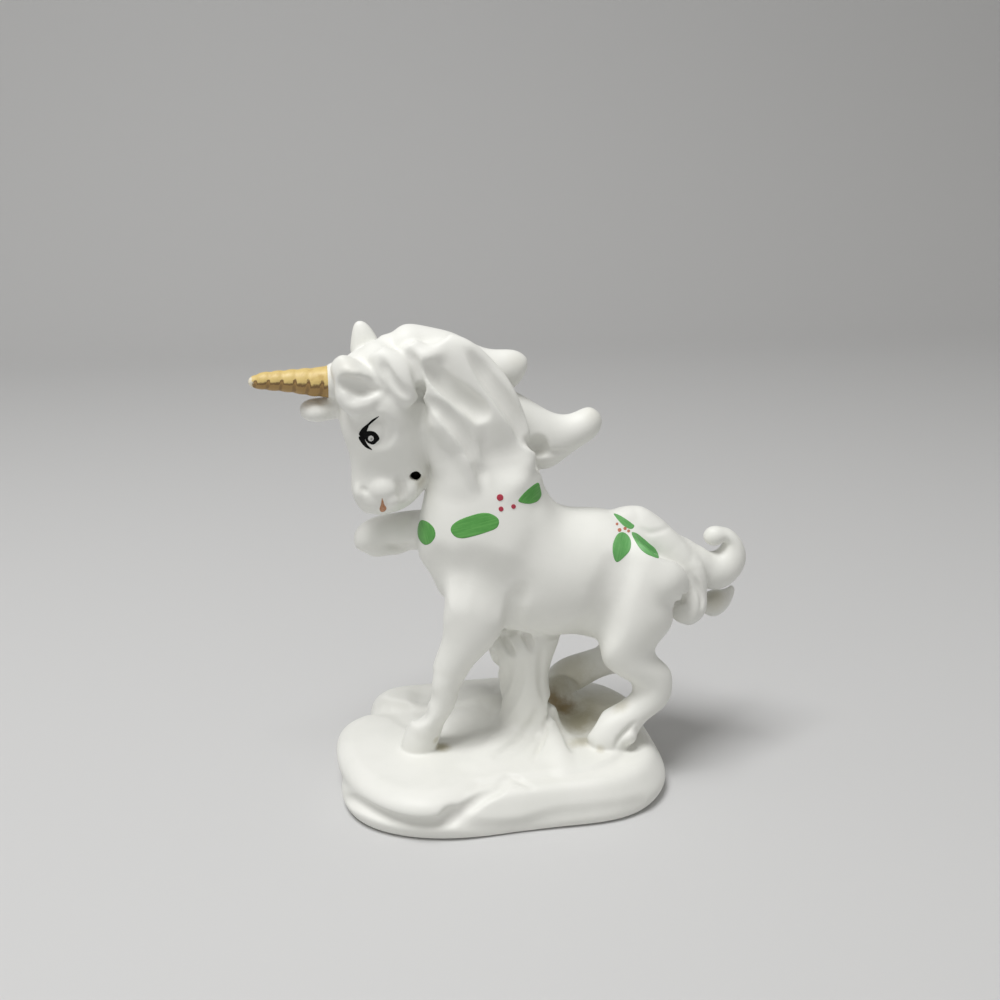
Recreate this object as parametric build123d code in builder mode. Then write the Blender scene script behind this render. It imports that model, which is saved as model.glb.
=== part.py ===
from build123d import *
import os

os.makedirs("parts", exist_ok=True)

# A bisque porcelain unicorn on a rocky base, in millimetres.
# +X runs from head to tail, the near flank faces -Y, +Z is up.
# The origin is the middle of the flat underside of the base.

# Base casting
base_length = 71.0
base_width = 52.0
plinth_height = 5.5
ground_height = 10.0
bank_height = 12.0
terrace_length = 40.0
terrace_width = 45.0
terrace_overlap = 1.0
terrace_undercut = 4.3

# Trunk and neck: three places along the middle of the casting
rump_reach = 38.0
rump_rise = 32.9
breast_reach = 4.5
breast_rise = 49.7
poll_reach = 17.0
poll_rise = 78.8
barrel_depth = 31.0
barrel_breadth = 25.0

# Head, from the crown down to the chin
crown_reach = 23.2
crown_rise = 87.0
head_length = 34.8
chin_drop_back = 2.4
head_depth = 18.0
head_breadth = 15.5
vent_diameter = 2.2
vent_depth = 5.0

# Horn and its seat
horn_length = 15.6
horn_girth = 6.3
collar_length = 4.6
collar_girth = 9.6

# Ears and forelock
ear_girth = 8.6
ear_thickness = 4.4
ear_wall = 1.3
ear_scoop_depth = 1.3
near_ear_length = 12.1
near_ear_spread = 6.4
far_ear_length = 6.6
far_ear_spread = 5.0
tuft_length = 9.4
tuft_girth = 4.8

# Mane
nape_rise = 88.0
crest_lock_length = 12.4
crest_lock_girth = 7.4
front_lock_length = 32.3
front_lock_girth = 8.0
rear_lock_length = 31.0
rear_lock_girth = 11.0
far_lock_length = 32.0
far_lock_girth = 13.0
lock_thickness = 6.0
upper_lock_reach = 20.6
upper_lock_girth = 10.4
lower_lock_reach = 26.4
lower_lock_girth = 16.2
flying_lock_thickness = 9.6

# Legs: each hoof's place on the ground, and the thickest section
leg_spread = 8.0
fore_hoof_reach = 18.3
fore_hoof_spread = 5.6
foreleg_girth = 19.0
foreleg_breadth = 13.0
knee_reach = 30.6
knee_rise = 43.9
forearm_girth = 9.6
cannon_girth = 5.2
hind_hoof_reach = 19.5
hind_hoof_spread = 10.6
thigh_girth = 15.6
thigh_breadth = 12.6
heel_diameter = 4.2
far_hoof_reach = 15.0
far_hoof_rise = 2.1
far_hoof_spread = 10.5

# Stump under the belly
stump_reach = 6.6
stump_spread = 2.0
stump_height = 24.7
stump_girth = 13.6
stump_breadth = 12.4
stump_sink = 1.5

# Tail
tail_root_reach = 28.7
tail_root_rise = 45.5
tail_reach = 18.3
tail_girth = 11.8
tail_thickness = 9.0
under_lock_reach = 17.4
under_lock_spread = 3.0
under_lock_girth = 8.4
under_lock_thickness = 7.0
side_lock_length = 13.6
side_lock_spread = 5.0
side_lock_girth = 7.2
side_lock_thickness = 6.0

# Outlines on the ground, as shares of half the length and half the width that they follow
plinth_outline_shares = [
    (-1.00, -0.16), (-0.84, -0.84), (-0.55, -1.03), (0.20, -1.05), (0.72, -0.96), (0.95, -0.62),
    (1.00, -0.10), (0.97, 0.36), (0.76, 0.74), (0.30, 0.92), (-0.50, 0.91), (-0.90, 0.55),
]
terrace_outline_shares = [
    (-1.00, 0.12), (-0.93, -0.48), (-0.62, -1.00), (-0.12, -1.24), (0.32, -1.12), (0.66, -0.78),
    (0.96, -0.30), (0.80, 0.28), (0.20, 0.60), (-0.50, 0.66), (-0.90, 0.44),
]
bank_outline_shares = [
    (-0.76, 0.62), (-0.30, 0.44), (0.30, 0.46), (0.62, 0.32), (0.84, 0.10), (0.96, 0.14), (0.95, 0.36),
    (0.84, 0.60), (0.64, 0.80), (0.30, 0.92), (-0.10, 0.94), (-0.50, 0.92), (-0.78, 0.78),
]
# Height and outline of each level, as shares
plinth_level_shares = [(0.0, 0.965), (0.30, 0.995), (0.65, 1.0), (1.0, 0.975)]
shoulder_level_shares = [(0.45, 0.94), (0.80, 0.86), (1.0, 0.74)]
terrace_level_shares = [(0.0, 0.94), (0.22, 0.99), (0.50, 1.0), (0.80, 0.95), (1.0, 0.84)]
bank_level_shares = [(0.0, 1.0), (0.55, 0.97), (1.0, 0.88)]

# Ribs of each form. A rib lies across a run between two places, and its row holds shares:
# along the run, off the run, sideways, girth, breadth; then its tilt in degrees.
trunk_rib_shares = [
    (0.00, 0.00, 0.0, 0.30, 0.28, 25), (0.025, -0.05, 0.0, 0.55, 0.56, 20), (0.08, -0.09, 0.0, 0.74, 0.80, 15),
    (0.18, -0.09, 0.0, 0.85, 0.94, 11), (0.32, -0.075, 0.0, 0.92, 0.98, 11), (0.46, -0.10, 0.0, 0.92, 1.0, 12),
    (0.63, -0.135, 0.0, 0.96, 1.0, 9), (0.87, -0.08, 0.0, 1.03, 0.98, -12), (1.00, 0.00, 0.0, 1.05, 0.93, -28),
]
neck_rib_shares = [
    (0.20, 0.03, 0.0, 0.92, 0.82, 14), (0.39, 0.07, 0.0, 0.78, 0.70, 19), (0.58, 0.12, 0.0, 0.65, 0.61, 25),
    (0.80, 0.14, 0.0, 0.56, 0.56, 39), (0.93, 0.10, 0.0, 0.54, 0.50, 54), (1.00, 0.04, 0.0, 0.48, 0.42, 66),
]
head_rib_shares = [
    (0.00, 0.02, 0.0, 0.34, 0.34, 0), (0.05, 0.01, 0.0, 0.66, 0.64, -2), (0.17, 0.01, 0.0, 0.90, 0.90, -8),
    (0.35, 0.00, 0.0, 0.99, 1.00, -6), (0.53, -0.02, 0.0, 1.00, 0.95, -6), (0.68, -0.05, 0.0, 0.92, 0.80, -7),
    (0.80, -0.05, 0.0, 0.86, 0.72, -8), (0.90, -0.01, 0.0, 0.70, 0.68, -12), (0.96, 0.01, 0.0, 0.50, 0.52, -8),
    (1.00, 0.00, 0.0, 0.24, 0.26, -4),
]
horn_rib_shares = [
    (0.00, 0.00, 0.0, 1.00, 1.00, 0), (0.22, 0.00, 0.0, 0.90, 0.90, 0), (0.48, 0.02, 0.0, 0.74, 0.74, 0),
    (0.72, 0.03, 0.0, 0.62, 0.62, 0), (0.90, 0.03, 0.0, 0.47, 0.47, 0), (1.00, 0.02, 0.0, 0.18, 0.18, 0),
]
collar_rib_shares = [
    (0.00, 0.00, 0.0, 1.00, 0.98, 0), (0.45, 0.01, 0.0, 0.86, 0.86, 0), (0.80, 0.01, 0.0, 0.76, 0.76, 0),
    (1.00, 0.00, 0.0, 0.70, 0.70, 0),
]
near_ear_rib_shares = [
    (0.00, 0.00, 0.0, 0.32, 0.50, 0), (0.08, 0.00, 0.0, 0.62, 0.80, 0), (0.26, 0.01, 0.0, 0.96, 1.00, 0),
    (0.48, 0.01, 0.0, 0.96, 0.96, 0), (0.72, 0.02, 0.0, 0.60, 0.70, 0), (0.90, 0.02, 0.0, 0.28, 0.42, 0),
    (1.00, 0.02, 0.0, 0.10, 0.18, 0),
]
far_ear_rib_shares = [
    (-0.10, 0.00, 0.0, 0.66, 0.90, 0), (0.30, 0.02, 0.0, 0.68, 0.92, 0), (0.62, 0.03, 0.0, 0.52, 0.74, 0),
    (0.86, 0.02, 0.0, 0.34, 0.48, 0), (1.00, 0.00, 0.0, 0.12, 0.18, 0),
]
tuft_rib_shares = [
    (0.00, 0.00, 0.0, 0.90, 0.90, 0), (0.35, -0.04, 0.0, 0.96, 1.00, 0), (0.66, 0.00, 0.0, 1.00, 1.02, 0),
    (0.88, 0.02, 0.0, 0.80, 0.80, 0), (1.00, 0.02, 0.0, 0.30, 0.30, 0),
]
crest_lock_rib_shares = [
    (0.00, 0.00, 0.0, 0.50, 0.50, 0), (0.16, -0.03, 0.0, 0.82, 0.80, 0), (0.42, -0.06, 0.0, 1.00, 1.00, 0),
    (0.68, -0.05, 0.0, 0.92, 0.96, 0), (0.88, -0.02, 0.0, 0.66, 0.70, 0), (1.00, 0.00, 0.0, 0.22, 0.26, 0),
]
front_lock_rib_shares = [
    (0.00, 0.00, 0.0, 0.50, 0.60, 0), (0.10, -0.01, 0.0, 0.76, 0.85, -4), (0.32, -0.04, 0.0, 0.92, 1.00, -8),
    (0.58, -0.07, 0.0, 1.00, 1.00, -12), (0.80, -0.06, 0.0, 0.80, 0.82, -22), (0.94, -0.02, 0.0, 0.48, 0.52, -26),
    (1.00, 0.00, 0.0, 0.16, 0.18, -26),
]
rear_lock_rib_shares = [
    (0.00, 0.00, 0.0, 0.55, 0.60, 0), (0.14, -0.03, 0.0, 0.85, 0.90, 2), (0.36, -0.05, 0.0, 1.00, 1.00, 0),
    (0.62, -0.045, 0.0, 0.90, 1.00, -6), (0.84, -0.025, 0.0, 0.64, 0.80, -8), (0.96, -0.01, 0.0, 0.40, 0.50, -8),
    (1.00, 0.00, 0.0, 0.16, 0.20, -8),
]
far_lock_rib_shares = [
    (0.00, 0.00, 0.0, 0.55, 0.60, 0), (0.14, -0.02, 0.0, 0.82, 0.90, 0), (0.38, -0.05, 0.0, 1.00, 1.00, -6),
    (0.64, -0.05, 0.0, 0.86, 0.96, -12), (0.84, -0.03, 0.0, 0.56, 0.72, -16), (0.96, -0.01, 0.0, 0.32, 0.44, -18),
    (1.00, 0.00, 0.0, 0.12, 0.16, -18),
]
upper_lock_rib_shares = [
    (-0.40, 0.06, 0.0, 0.44, 0.56, 16), (-0.26, 0.02, 0.0, 0.74, 0.84, 14), (0.00, 0.00, 0.0, 0.92, 1.00, 14),
    (0.26, 0.04, 0.0, 0.98, 1.00, 14), (0.48, 0.11, 0.0, 1.00, 0.94, 17), (0.68, 0.13, 0.0, 0.88, 0.84, 15),
    (0.84, 0.09, 0.0, 0.78, 0.72, 12), (0.95, 0.05, 0.0, 0.52, 0.50, 7), (1.00, 0.02, 0.0, 0.20, 0.20, 6),
]
lower_lock_rib_shares = [
    (0.10, 0.05, 0.0, 0.62, 0.70, 38), (0.24, 0.09, 0.0, 0.86, 0.90, 32), (0.39, 0.14, 0.0, 1.00, 1.00, 23),
    (0.52, 0.20, 0.0, 0.93, 0.96, 17), (0.66, 0.20, 0.0, 0.70, 0.86, 19), (0.80, 0.15, 0.0, 0.48, 0.74, 20),
    (0.92, 0.07, 0.0, 0.42, 0.64, 23), (0.985, 0.02, 0.0, 0.28, 0.42, 28), (1.01, 0.00, 0.0, 0.10, 0.16, 30),
]
foreleg_rib_shares = [
    (-0.18, -0.01, 0.0, 0.56, 0.40, 2), (-0.04, 0.00, 0.0, 0.84, 0.58, 5), (0.08, -0.02, 0.0, 0.80, 0.68, 10),
    (0.18, -0.04, 0.0, 0.69, 0.72, 14), (0.29, -0.04, 0.0, 0.59, 0.68, 16), (0.42, -0.01, 0.0, 0.46, 0.60, 15),
    (0.55, 0.00, 0.0, 0.38, 0.52, 12), (0.69, 0.01, 0.0, 0.345, 0.47, 12), (0.84, 0.02, 0.0, 0.385, 0.53, 10),
    (0.96, 0.02, 0.0, 0.41, 0.58, 10), (1.05, 0.015, 0.0, 0.40, 0.58, 10),
]
forearm_rib_shares = [
    (-0.10, 0.00, 0.0, 1.10, 1.00, 0), (0.16, 0.02, 0.0, 1.02, 0.98, 0), (0.38, 0.05, 0.0, 0.84, 0.88, 0),
    (0.58, 0.06, 0.0, 0.77, 0.80, 0), (0.76, 0.05, 0.0, 0.72, 0.76, 0), (0.91, 0.01, 0.0, 0.66, 0.68, 0),
    (0.98, -0.01, 0.0, 0.42, 0.44, 0), (1.00, -0.02, 0.0, 0.14, 0.16, 0),
]
folded_rib_shares = [
    (0.00, 0.00, 0.0, 0.70, 0.80, 0), (0.14, 0.00, 0.0, 0.98, 1.02, 0), (0.40, -0.03, 0.0, 0.86, 0.94, 0),
    (0.66, -0.03, 0.0, 0.90, 0.96, 0), (0.84, 0.00, 0.0, 1.12, 1.16, 0), (0.96, 0.02, 0.0, 1.00, 1.06, 0),
    (1.02, 0.02, 0.0, 0.50, 0.54, 0),
]
near_hind_rib_shares = [
    (-0.12, 0.02, 0.05, 0.62, 0.60, -20), (0.00, 0.00, 0.00, 0.90, 0.92, -16), (0.17, -0.005, 0.0, 1.00, 1.00, 2),
    (0.33, 0.00, 0.00, 0.94, 0.90, 8), (0.44, -0.015, 0.00, 0.79, 0.76, 18), (0.51, -0.11, 0.00, 0.71, 0.68, 25),
    (0.57, -0.215, 0.00, 0.57, 0.60, 20), (0.64, -0.24, 0.00, 0.52, 0.56, 1), (0.72, -0.205, 0.00, 0.52, 0.56, -3),
    (0.83, -0.11, 0.00, 0.60, 0.62, -4), (0.93, -0.065, 0.00, 0.68, 0.68, -6), (1.00, -0.02, 0.00, 0.50, 0.60, -16),
    (1.04, 0.01, 0.00, 0.22, 0.30, -24),
]
far_hind_rib_shares = [
    (-0.08, 0.00, -0.04, 0.60, 0.60, 0), (0.06, 0.00, 0.00, 0.86, 0.92, 0), (0.24, -0.02, 0.00, 0.90, 0.96, 4),
    (0.38, -0.07, 0.00, 0.80, 0.84, 12), (0.48, -0.17, 0.00, 0.70, 0.72, 20), (0.56, -0.29, 0.00, 0.58, 0.62, 0),
    (0.62, -0.29, 0.00, 0.50, 0.56, -34), (0.69, -0.20, 0.00, 0.46, 0.54, -40), (0.78, -0.10, 0.00, 0.49, 0.58, -42),
    (0.89, -0.01, 0.00, 0.54, 0.68, -42), (1.00, 0.03, 0.00, 0.42, 0.58, -40), (1.05, 0.06, 0.00, 0.18, 0.28, -38),
]
stump_rib_shares = [
    (0.00, 0.05, 0.0, 1.40, 1.24, 0), (0.09, 0.03, 0.0, 1.10, 1.04, 0), (0.21, 0.00, 0.0, 0.86, 0.92, 0),
    (0.42, -0.03, 0.0, 0.81, 0.88, 0), (0.64, -0.045, 0.0, 0.92, 0.94, 0), (0.80, -0.05, 0.0, 1.12, 1.04, 0),
    (0.94, -0.02, 0.0, 1.16, 1.06, 0), (1.03, 0.01, 0.0, 1.10, 1.00, 0),
]
tail_rib_shares = [
    (-0.14, 0.02, 0.0, 0.56, 0.74, 34), (0.02, 0.00, 0.0, 0.80, 0.94, 36), (0.23, 0.03, 0.0, 0.96, 1.00, 30),
    (0.48, 0.11, 0.0, 0.98, 1.00, 26), (0.75, 0.27, 0.0, 0.72, 0.92, 24), (1.00, 0.40, 0.0, 0.76, 0.90, 18),
    (1.22, 0.37, 0.0, 0.74, 0.86, 32), (1.33, 0.22, 0.0, 0.60, 0.76, 62), (1.32, 0.05, 0.0, 0.40, 0.62, 88),
    (1.17, -0.06, 0.0, 0.27, 0.48, 152), (1.02, -0.02, 0.0, 0.22, 0.36, 200), (0.96, 0.01, 0.0, 0.08, 0.14, 214),
]
under_lock_rib_shares = [
    (0.00, 0.06, 0.0, 0.66, 0.80, -26), (0.22, 0.22, 0.0, 0.92, 1.00, -16), (0.50, 0.33, 0.0, 0.88, 0.96, 4),
    (0.76, 0.32, 0.0, 0.68, 0.80, 24), (0.94, 0.19, 0.0, 0.46, 0.56, 46), (1.02, 0.04, 0.0, 0.14, 0.20, 58),
]
side_lock_rib_shares = [
    (0.00, 0.02, 0.03, 0.42, 0.44, 0), (0.14, -0.03, 0.01, 0.50, 0.52, 0), (0.32, -0.05, 0.0, 0.66, 0.70, 0),
    (0.53, -0.03, 0.0, 0.87, 0.92, 0), (0.74, 0.00, 0.0, 0.98, 1.00, 0), (0.90, 0.01, 0.0, 0.70, 0.74, 0),
    (1.00, 0.01, 0.0, 0.24, 0.24, 0),
]

sideways = Vector(0, 1, 0)


def place(reach, spread, rise):
    """A point by its reach towards the tail, its spread to the far side and its rise above the ground."""
    return Vector(reach, spread, ground_height + rise)


def outline(level, length, width, shares, share, shift=0.0):
    """A closed smooth outline on a level plane, with its points given as shares of half its length and width."""
    corners = [(shift + x * length * share / 2, y * width * share / 2) for x, y in shares]
    with BuildSketch(Plane.XY.offset(level)) as sketch:
        with BuildLine():
            Spline(*corners, periodic=True)
        make_face()
    return sketch.sketch


def beside(start, end, along, off, sway):
    """A point beside a run; off is to the right of the way it goes, seen from the near flank."""
    run = end - start
    right = sideways.cross(run)
    return start + run * along + right * off + sideways * (sway * run.length)


def ribs(start, end, girth, breadth, rows):
    """The oval ribs of one form, square to its run but for their tilt."""
    sections = []
    for along, off, sway, girth_share, breadth_share, tilt in rows:
        middle = beside(start, end, along, off, sway)
        normal = (end - start).rotate(Axis.Y, -tilt)
        with BuildSketch(Plane(middle, x_dir=sideways, z_dir=normal)) as section:
            Ellipse(breadth * breadth_share / 2, girth * girth_share / 2)
        sections.append(section.sketch)
    return sections


def clear_of(*pieces):
    """Cut the piece in hand along the seams where it is luted to its neighbours."""
    for piece in pieces:
        add(piece.part, mode=Mode.SUBTRACT)


# Places that the pieces share
rump = place(rump_reach, 0, rump_rise)
breast = place(-breast_reach, 0, breast_rise)
poll = place(-poll_reach, 0, poll_rise)
crown = place(-crown_reach, 0, crown_rise)
chin = crown + Vector(-chin_drop_back, 0, -head_length)
throat = beside(crown, chin, 0.74, -0.19, -0.10)
horn_root = beside(crown, chin, 0.22, 0.32, 0)
horn_tip = horn_root - Vector(horn_length, 0, 0)
collar_root = horn_root + Vector(collar_length, 0, 0)
near_ear_root = beside(crown, chin, 0.36, 0.11, 0) - sideways * near_ear_spread
near_ear_tip = near_ear_root + Vector(-0.42, 0, 1).normalized() * near_ear_length
far_ear_root = beside(crown, chin, 0.07, 0.10, 0) + sideways * far_ear_spread
far_ear_tip = far_ear_root + Vector(-0.2, 0.05, 1).normalized() * far_ear_length
tuft_root = beside(crown, chin, 0.35, 0.21, 0.04)
tuft_tip = tuft_root + Vector(-1, 0, -0.2).normalized() * tuft_length
nape = Vector(poll.X, 0, ground_height + nape_rise)
crest_root = nape + Vector(-0.26, -0.16, -0.04) * front_lock_length
crest_tip = crest_root + Vector(0.54, -0.18, -0.84).normalized() * crest_lock_length
front_root = nape + Vector(-0.06, -0.15, 0) * front_lock_length
front_tip = front_root + Vector(0.40, -0.125, -0.91).normalized() * front_lock_length
rear_root = nape + Vector(0.12, -0.14, 0) * front_lock_length
rear_tip = rear_root + Vector(0.57, -0.05, -0.82).normalized() * rear_lock_length
far_root = nape + Vector(0, 0.13, 0) * front_lock_length
far_tip = far_root + Vector(0.48, 0.12, -0.87).normalized() * far_lock_length
upper_root = nape + Vector(0.07, 0.03, -0.07) * front_lock_length
upper_tip = upper_root + Vector(1, 0, -0.155) * upper_lock_reach
lower_root = nape + Vector(0.37, 0.03, -0.43) * front_lock_length
lower_tip = lower_root + Vector(1, 0, -0.13) * lower_lock_reach
elbow = beside(rump, breast, 0.92, -0.30, 0) - sideways * leg_spread
fore_hoof = place(-fore_hoof_reach, -fore_hoof_spread, 0)
far_shoulder = beside(rump, breast, 1.00, -0.12, 0) + sideways * leg_spread
knee = place(-knee_reach, leg_spread, knee_rise)
fold = beside(knee, far_shoulder, 0.10, 0.04, 0)
tucked_hoof = beside(knee, far_shoulder, 0.72, 0.32, 0)
hip = beside(rump, breast, 0.19, 0.02, 0)
near_hip = hip - sideways * leg_spread
far_hip = hip + sideways * leg_spread
hind_hoof = place(hind_hoof_reach, -hind_hoof_spread, 0)
heel = hind_hoof + Vector(1.9, 0.45, 0.30) * heel_diameter
far_hoof = place(far_hoof_reach, far_hoof_spread, far_hoof_rise)
stump_foot = place(stump_reach, stump_spread, -stump_sink)
stump_top = stump_foot + Vector(0, 0, stump_height)
tail_root = place(tail_root_reach, 0, tail_root_rise)
tail_end = tail_root + Vector(1, 0, -0.17) * tail_reach
under_root = beside(tail_root, tail_end, 0.54, 0.64, 0) + sideways * under_lock_spread
under_tip = under_root + Vector(1, 0, -0.115) * under_lock_reach
side_root = beside(tail_root, tail_end, 0.78, 0.29, 0) - sideways * side_lock_spread
side_tip = side_root + Vector(-0.06, 0, -1) * side_lock_length

with BuildPart() as body:
    loft(
        ribs(rump, breast, barrel_depth, barrel_breadth, trunk_rib_shares)
        + ribs(breast, poll, barrel_depth, barrel_breadth, neck_rib_shares)
    )

with BuildPart() as base:
    levels = [(share * plinth_height, size) for share, size in plinth_level_shares]
    slope = ground_height - plinth_height
    levels += [(plinth_height + share * slope, size) for share, size in shoulder_level_shares]
    loft([outline(level, base_length, base_width, plinth_outline_shares, size) for level, size in levels])
    rise = ground_height - terrace_undercut
    shift = (terrace_length - base_length) / 2 - terrace_overlap
    loft([
        outline(terrace_undercut + share * rise, terrace_length, terrace_width, terrace_outline_shares, size, shift)
        for share, size in terrace_level_shares
    ])
    rise = bank_height - plinth_height
    loft([
        outline(plinth_height + share * rise, base_length, base_width, bank_outline_shares, size)
        for share, size in bank_level_shares
    ])

with BuildPart() as head:
    loft(ribs(crown, chin, head_depth, head_breadth, head_rib_shares))
    with Locations(Plane(throat, z_dir=sideways)):
        Cylinder(vent_diameter / 2, vent_depth, mode=Mode.SUBTRACT)
    clear_of(body)

with BuildPart() as horn_collar:
    loft(ribs(collar_root, horn_root, collar_girth, collar_girth, collar_rib_shares))
    clear_of(head)

with BuildPart() as horn:
    loft(ribs(horn_root, horn_tip, horn_girth, horn_girth, horn_rib_shares))

with BuildPart() as near_ear:
    loft(ribs(near_ear_root, near_ear_tip, ear_girth, ear_thickness, near_ear_rib_shares))
    scoop = sideways * (ear_thickness - ear_scoop_depth)
    hollow = ear_girth - 2 * ear_wall
    loft(
        ribs(near_ear_root - scoop, near_ear_tip - scoop, hollow, ear_thickness, near_ear_rib_shares),
        mode=Mode.SUBTRACT,
    )
    clear_of(head, horn_collar)

with BuildPart() as far_ear:
    loft(ribs(far_ear_root, far_ear_tip, ear_girth, ear_thickness, far_ear_rib_shares))
    clear_of(head)

with BuildPart() as forelock:
    loft(ribs(tuft_root, tuft_tip, tuft_girth, tuft_girth, tuft_rib_shares))
    clear_of(head, horn_collar)

with BuildPart() as crest_lock:
    loft(ribs(crest_root, crest_tip, crest_lock_girth, lock_thickness, crest_lock_rib_shares))
    clear_of(head, body, near_ear)

with BuildPart() as mane_front_lock:
    loft(ribs(front_root, front_tip, front_lock_girth, lock_thickness, front_lock_rib_shares))
    clear_of(head, body, crest_lock)

with BuildPart() as mane_rear_lock:
    loft(ribs(rear_root, rear_tip, rear_lock_girth, lock_thickness, rear_lock_rib_shares))
    clear_of(head, body, mane_front_lock)

with BuildPart() as far_mane_lock:
    loft(ribs(far_root, far_tip, far_lock_girth, lock_thickness, far_lock_rib_shares))
    clear_of(head, body, mane_front_lock, mane_rear_lock)

with BuildPart() as upper_flying_lock:
    loft(ribs(upper_root, upper_tip, upper_lock_girth, flying_lock_thickness, upper_lock_rib_shares))
    clear_of(head, body, crest_lock, mane_front_lock, mane_rear_lock, far_mane_lock)

with BuildPart() as lower_flying_lock:
    loft(ribs(lower_root, lower_tip, lower_lock_girth, flying_lock_thickness, lower_lock_rib_shares))
    clear_of(body, mane_rear_lock, far_mane_lock, upper_flying_lock)

with BuildPart() as near_foreleg:
    loft(ribs(elbow, fore_hoof, foreleg_girth, foreleg_breadth, foreleg_rib_shares))
    clear_of(body, base)

with BuildPart() as raised_foreleg:
    loft(ribs(far_shoulder, knee, forearm_girth, forearm_girth, forearm_rib_shares))
    loft(ribs(fold, tucked_hoof, cannon_girth, cannon_girth, folded_rib_shares))
    clear_of(body)

with BuildPart() as tree_stump:
    loft(ribs(stump_foot, stump_top, stump_girth, stump_breadth, stump_rib_shares))
    clear_of(body, base)

with BuildPart() as near_hind_leg:
    loft(ribs(near_hip, hind_hoof, thigh_girth, thigh_breadth, near_hind_rib_shares))
    with Locations(heel):
        Sphere(heel_diameter / 2)
    clear_of(body, base)

with BuildPart() as far_hind_leg:
    loft(ribs(far_hip, far_hoof, thigh_girth, thigh_breadth, far_hind_rib_shares))
    clear_of(body, base, tree_stump)

with BuildPart() as tail_plume:
    loft(ribs(tail_root, tail_end, tail_girth, tail_thickness, tail_rib_shares))
    clear_of(body, near_hind_leg, far_hind_leg)

with BuildPart() as tail_under_lock:
    loft(ribs(under_root, under_tip, under_lock_girth, under_lock_thickness, under_lock_rib_shares))
    clear_of(body, far_hind_leg, near_hind_leg, tail_plume)

with BuildPart() as tail_side_lock:
    loft(ribs(side_root, side_tip, side_lock_girth, side_lock_thickness, side_lock_rib_shares))
    clear_of(body, near_hind_leg, tail_plume, tail_under_lock)

base.part.label = "base"
body.part.label = "body"
head.part.label = "head"
horn_collar.part.label = "horn_collar"
horn.part.label = "horn"
near_ear.part.label = "near_ear"
far_ear.part.label = "far_ear"
forelock.part.label = "forelock"
crest_lock.part.label = "crest_lock"
mane_front_lock.part.label = "mane_front_lock"
mane_rear_lock.part.label = "mane_rear_lock"
far_mane_lock.part.label = "far_mane_lock"
upper_flying_lock.part.label = "upper_flying_lock"
lower_flying_lock.part.label = "lower_flying_lock"
near_foreleg.part.label = "near_foreleg"
raised_foreleg.part.label = "raised_foreleg"
near_hind_leg.part.label = "near_hind_leg"
far_hind_leg.part.label = "far_hind_leg"
tree_stump.part.label = "tree_stump"
tail_plume.part.label = "tail_plume"
tail_under_lock.part.label = "tail_under_lock"
tail_side_lock.part.label = "tail_side_lock"

pieces = (
    base, tree_stump, body, head, horn_collar, horn, near_ear, far_ear, forelock, crest_lock, mane_front_lock,
    mane_rear_lock, far_mane_lock, upper_flying_lock, lower_flying_lock, near_foreleg, raised_foreleg,
    near_hind_leg, far_hind_leg, tail_plume, tail_under_lock, tail_side_lock,
)
for piece in pieces:
    export_step(piece.part, "parts/" + piece.part.label + ".step")
    print(piece.part.label, len(piece.part.solids()), "solid", round(piece.part.volume), "mm3")
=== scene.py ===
import logging
import math
from dataclasses import dataclass
from enum import Enum
from typing import Sequence

import bmesh
import bpy
import numpy as np
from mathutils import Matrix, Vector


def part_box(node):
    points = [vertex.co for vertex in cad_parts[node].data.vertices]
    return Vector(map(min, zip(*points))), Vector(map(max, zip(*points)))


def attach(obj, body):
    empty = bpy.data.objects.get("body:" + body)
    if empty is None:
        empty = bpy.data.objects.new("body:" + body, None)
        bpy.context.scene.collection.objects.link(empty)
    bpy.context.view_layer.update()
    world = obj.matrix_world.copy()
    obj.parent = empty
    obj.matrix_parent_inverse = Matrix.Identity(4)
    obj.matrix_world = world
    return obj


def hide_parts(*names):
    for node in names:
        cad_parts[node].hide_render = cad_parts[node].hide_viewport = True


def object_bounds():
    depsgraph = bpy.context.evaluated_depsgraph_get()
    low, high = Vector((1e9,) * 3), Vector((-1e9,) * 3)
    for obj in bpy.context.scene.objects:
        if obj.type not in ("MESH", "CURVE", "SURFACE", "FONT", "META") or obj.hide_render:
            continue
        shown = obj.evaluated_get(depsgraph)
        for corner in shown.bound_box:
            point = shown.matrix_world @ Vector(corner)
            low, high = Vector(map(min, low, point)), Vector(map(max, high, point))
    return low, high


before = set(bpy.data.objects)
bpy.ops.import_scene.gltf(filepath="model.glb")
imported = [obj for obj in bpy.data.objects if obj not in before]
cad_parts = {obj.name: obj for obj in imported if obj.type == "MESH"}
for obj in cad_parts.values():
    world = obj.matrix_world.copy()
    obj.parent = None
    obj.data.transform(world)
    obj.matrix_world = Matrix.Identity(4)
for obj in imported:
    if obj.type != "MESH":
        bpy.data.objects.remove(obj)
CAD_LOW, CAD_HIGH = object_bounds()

import openvdb as vdb
from mathutils import Vector

# A bisque porcelain unicorn. Lengths here are millimetres, as a modeller would measure them,
# and become metres where a mesh or a lamp is made. Pixels are those of the 1000 x 1000 photograph.

MM = 0.001
TINY = 1e-9  # The least number that anything is divided by.
DISC_POINTS = 8  # How many pixels outline a round spot.
SLIP_OUT, SLIP_IN = 1.5, 1.8  # How far outside and inside a rounded skin its distances are known.
log = logging.getLogger("unicorn")

Pixel = tuple[float, float]
Path = tuple[Pixel, ...]
Colour = tuple[float, float, float]
Block = tuple[slice, slice, slice]


class Touch(Enum):
    """What a modelling tool does where it meets the clay."""

    ADD = 1.0
    CARVE = -1.0


def put(name: str, data: bpy.types.ID) -> bpy.types.Object:
    """Makes an object and puts it in the scene."""
    thing = bpy.data.objects.new(name, data)
    bpy.context.scene.collection.objects.link(thing)
    return thing


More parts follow.
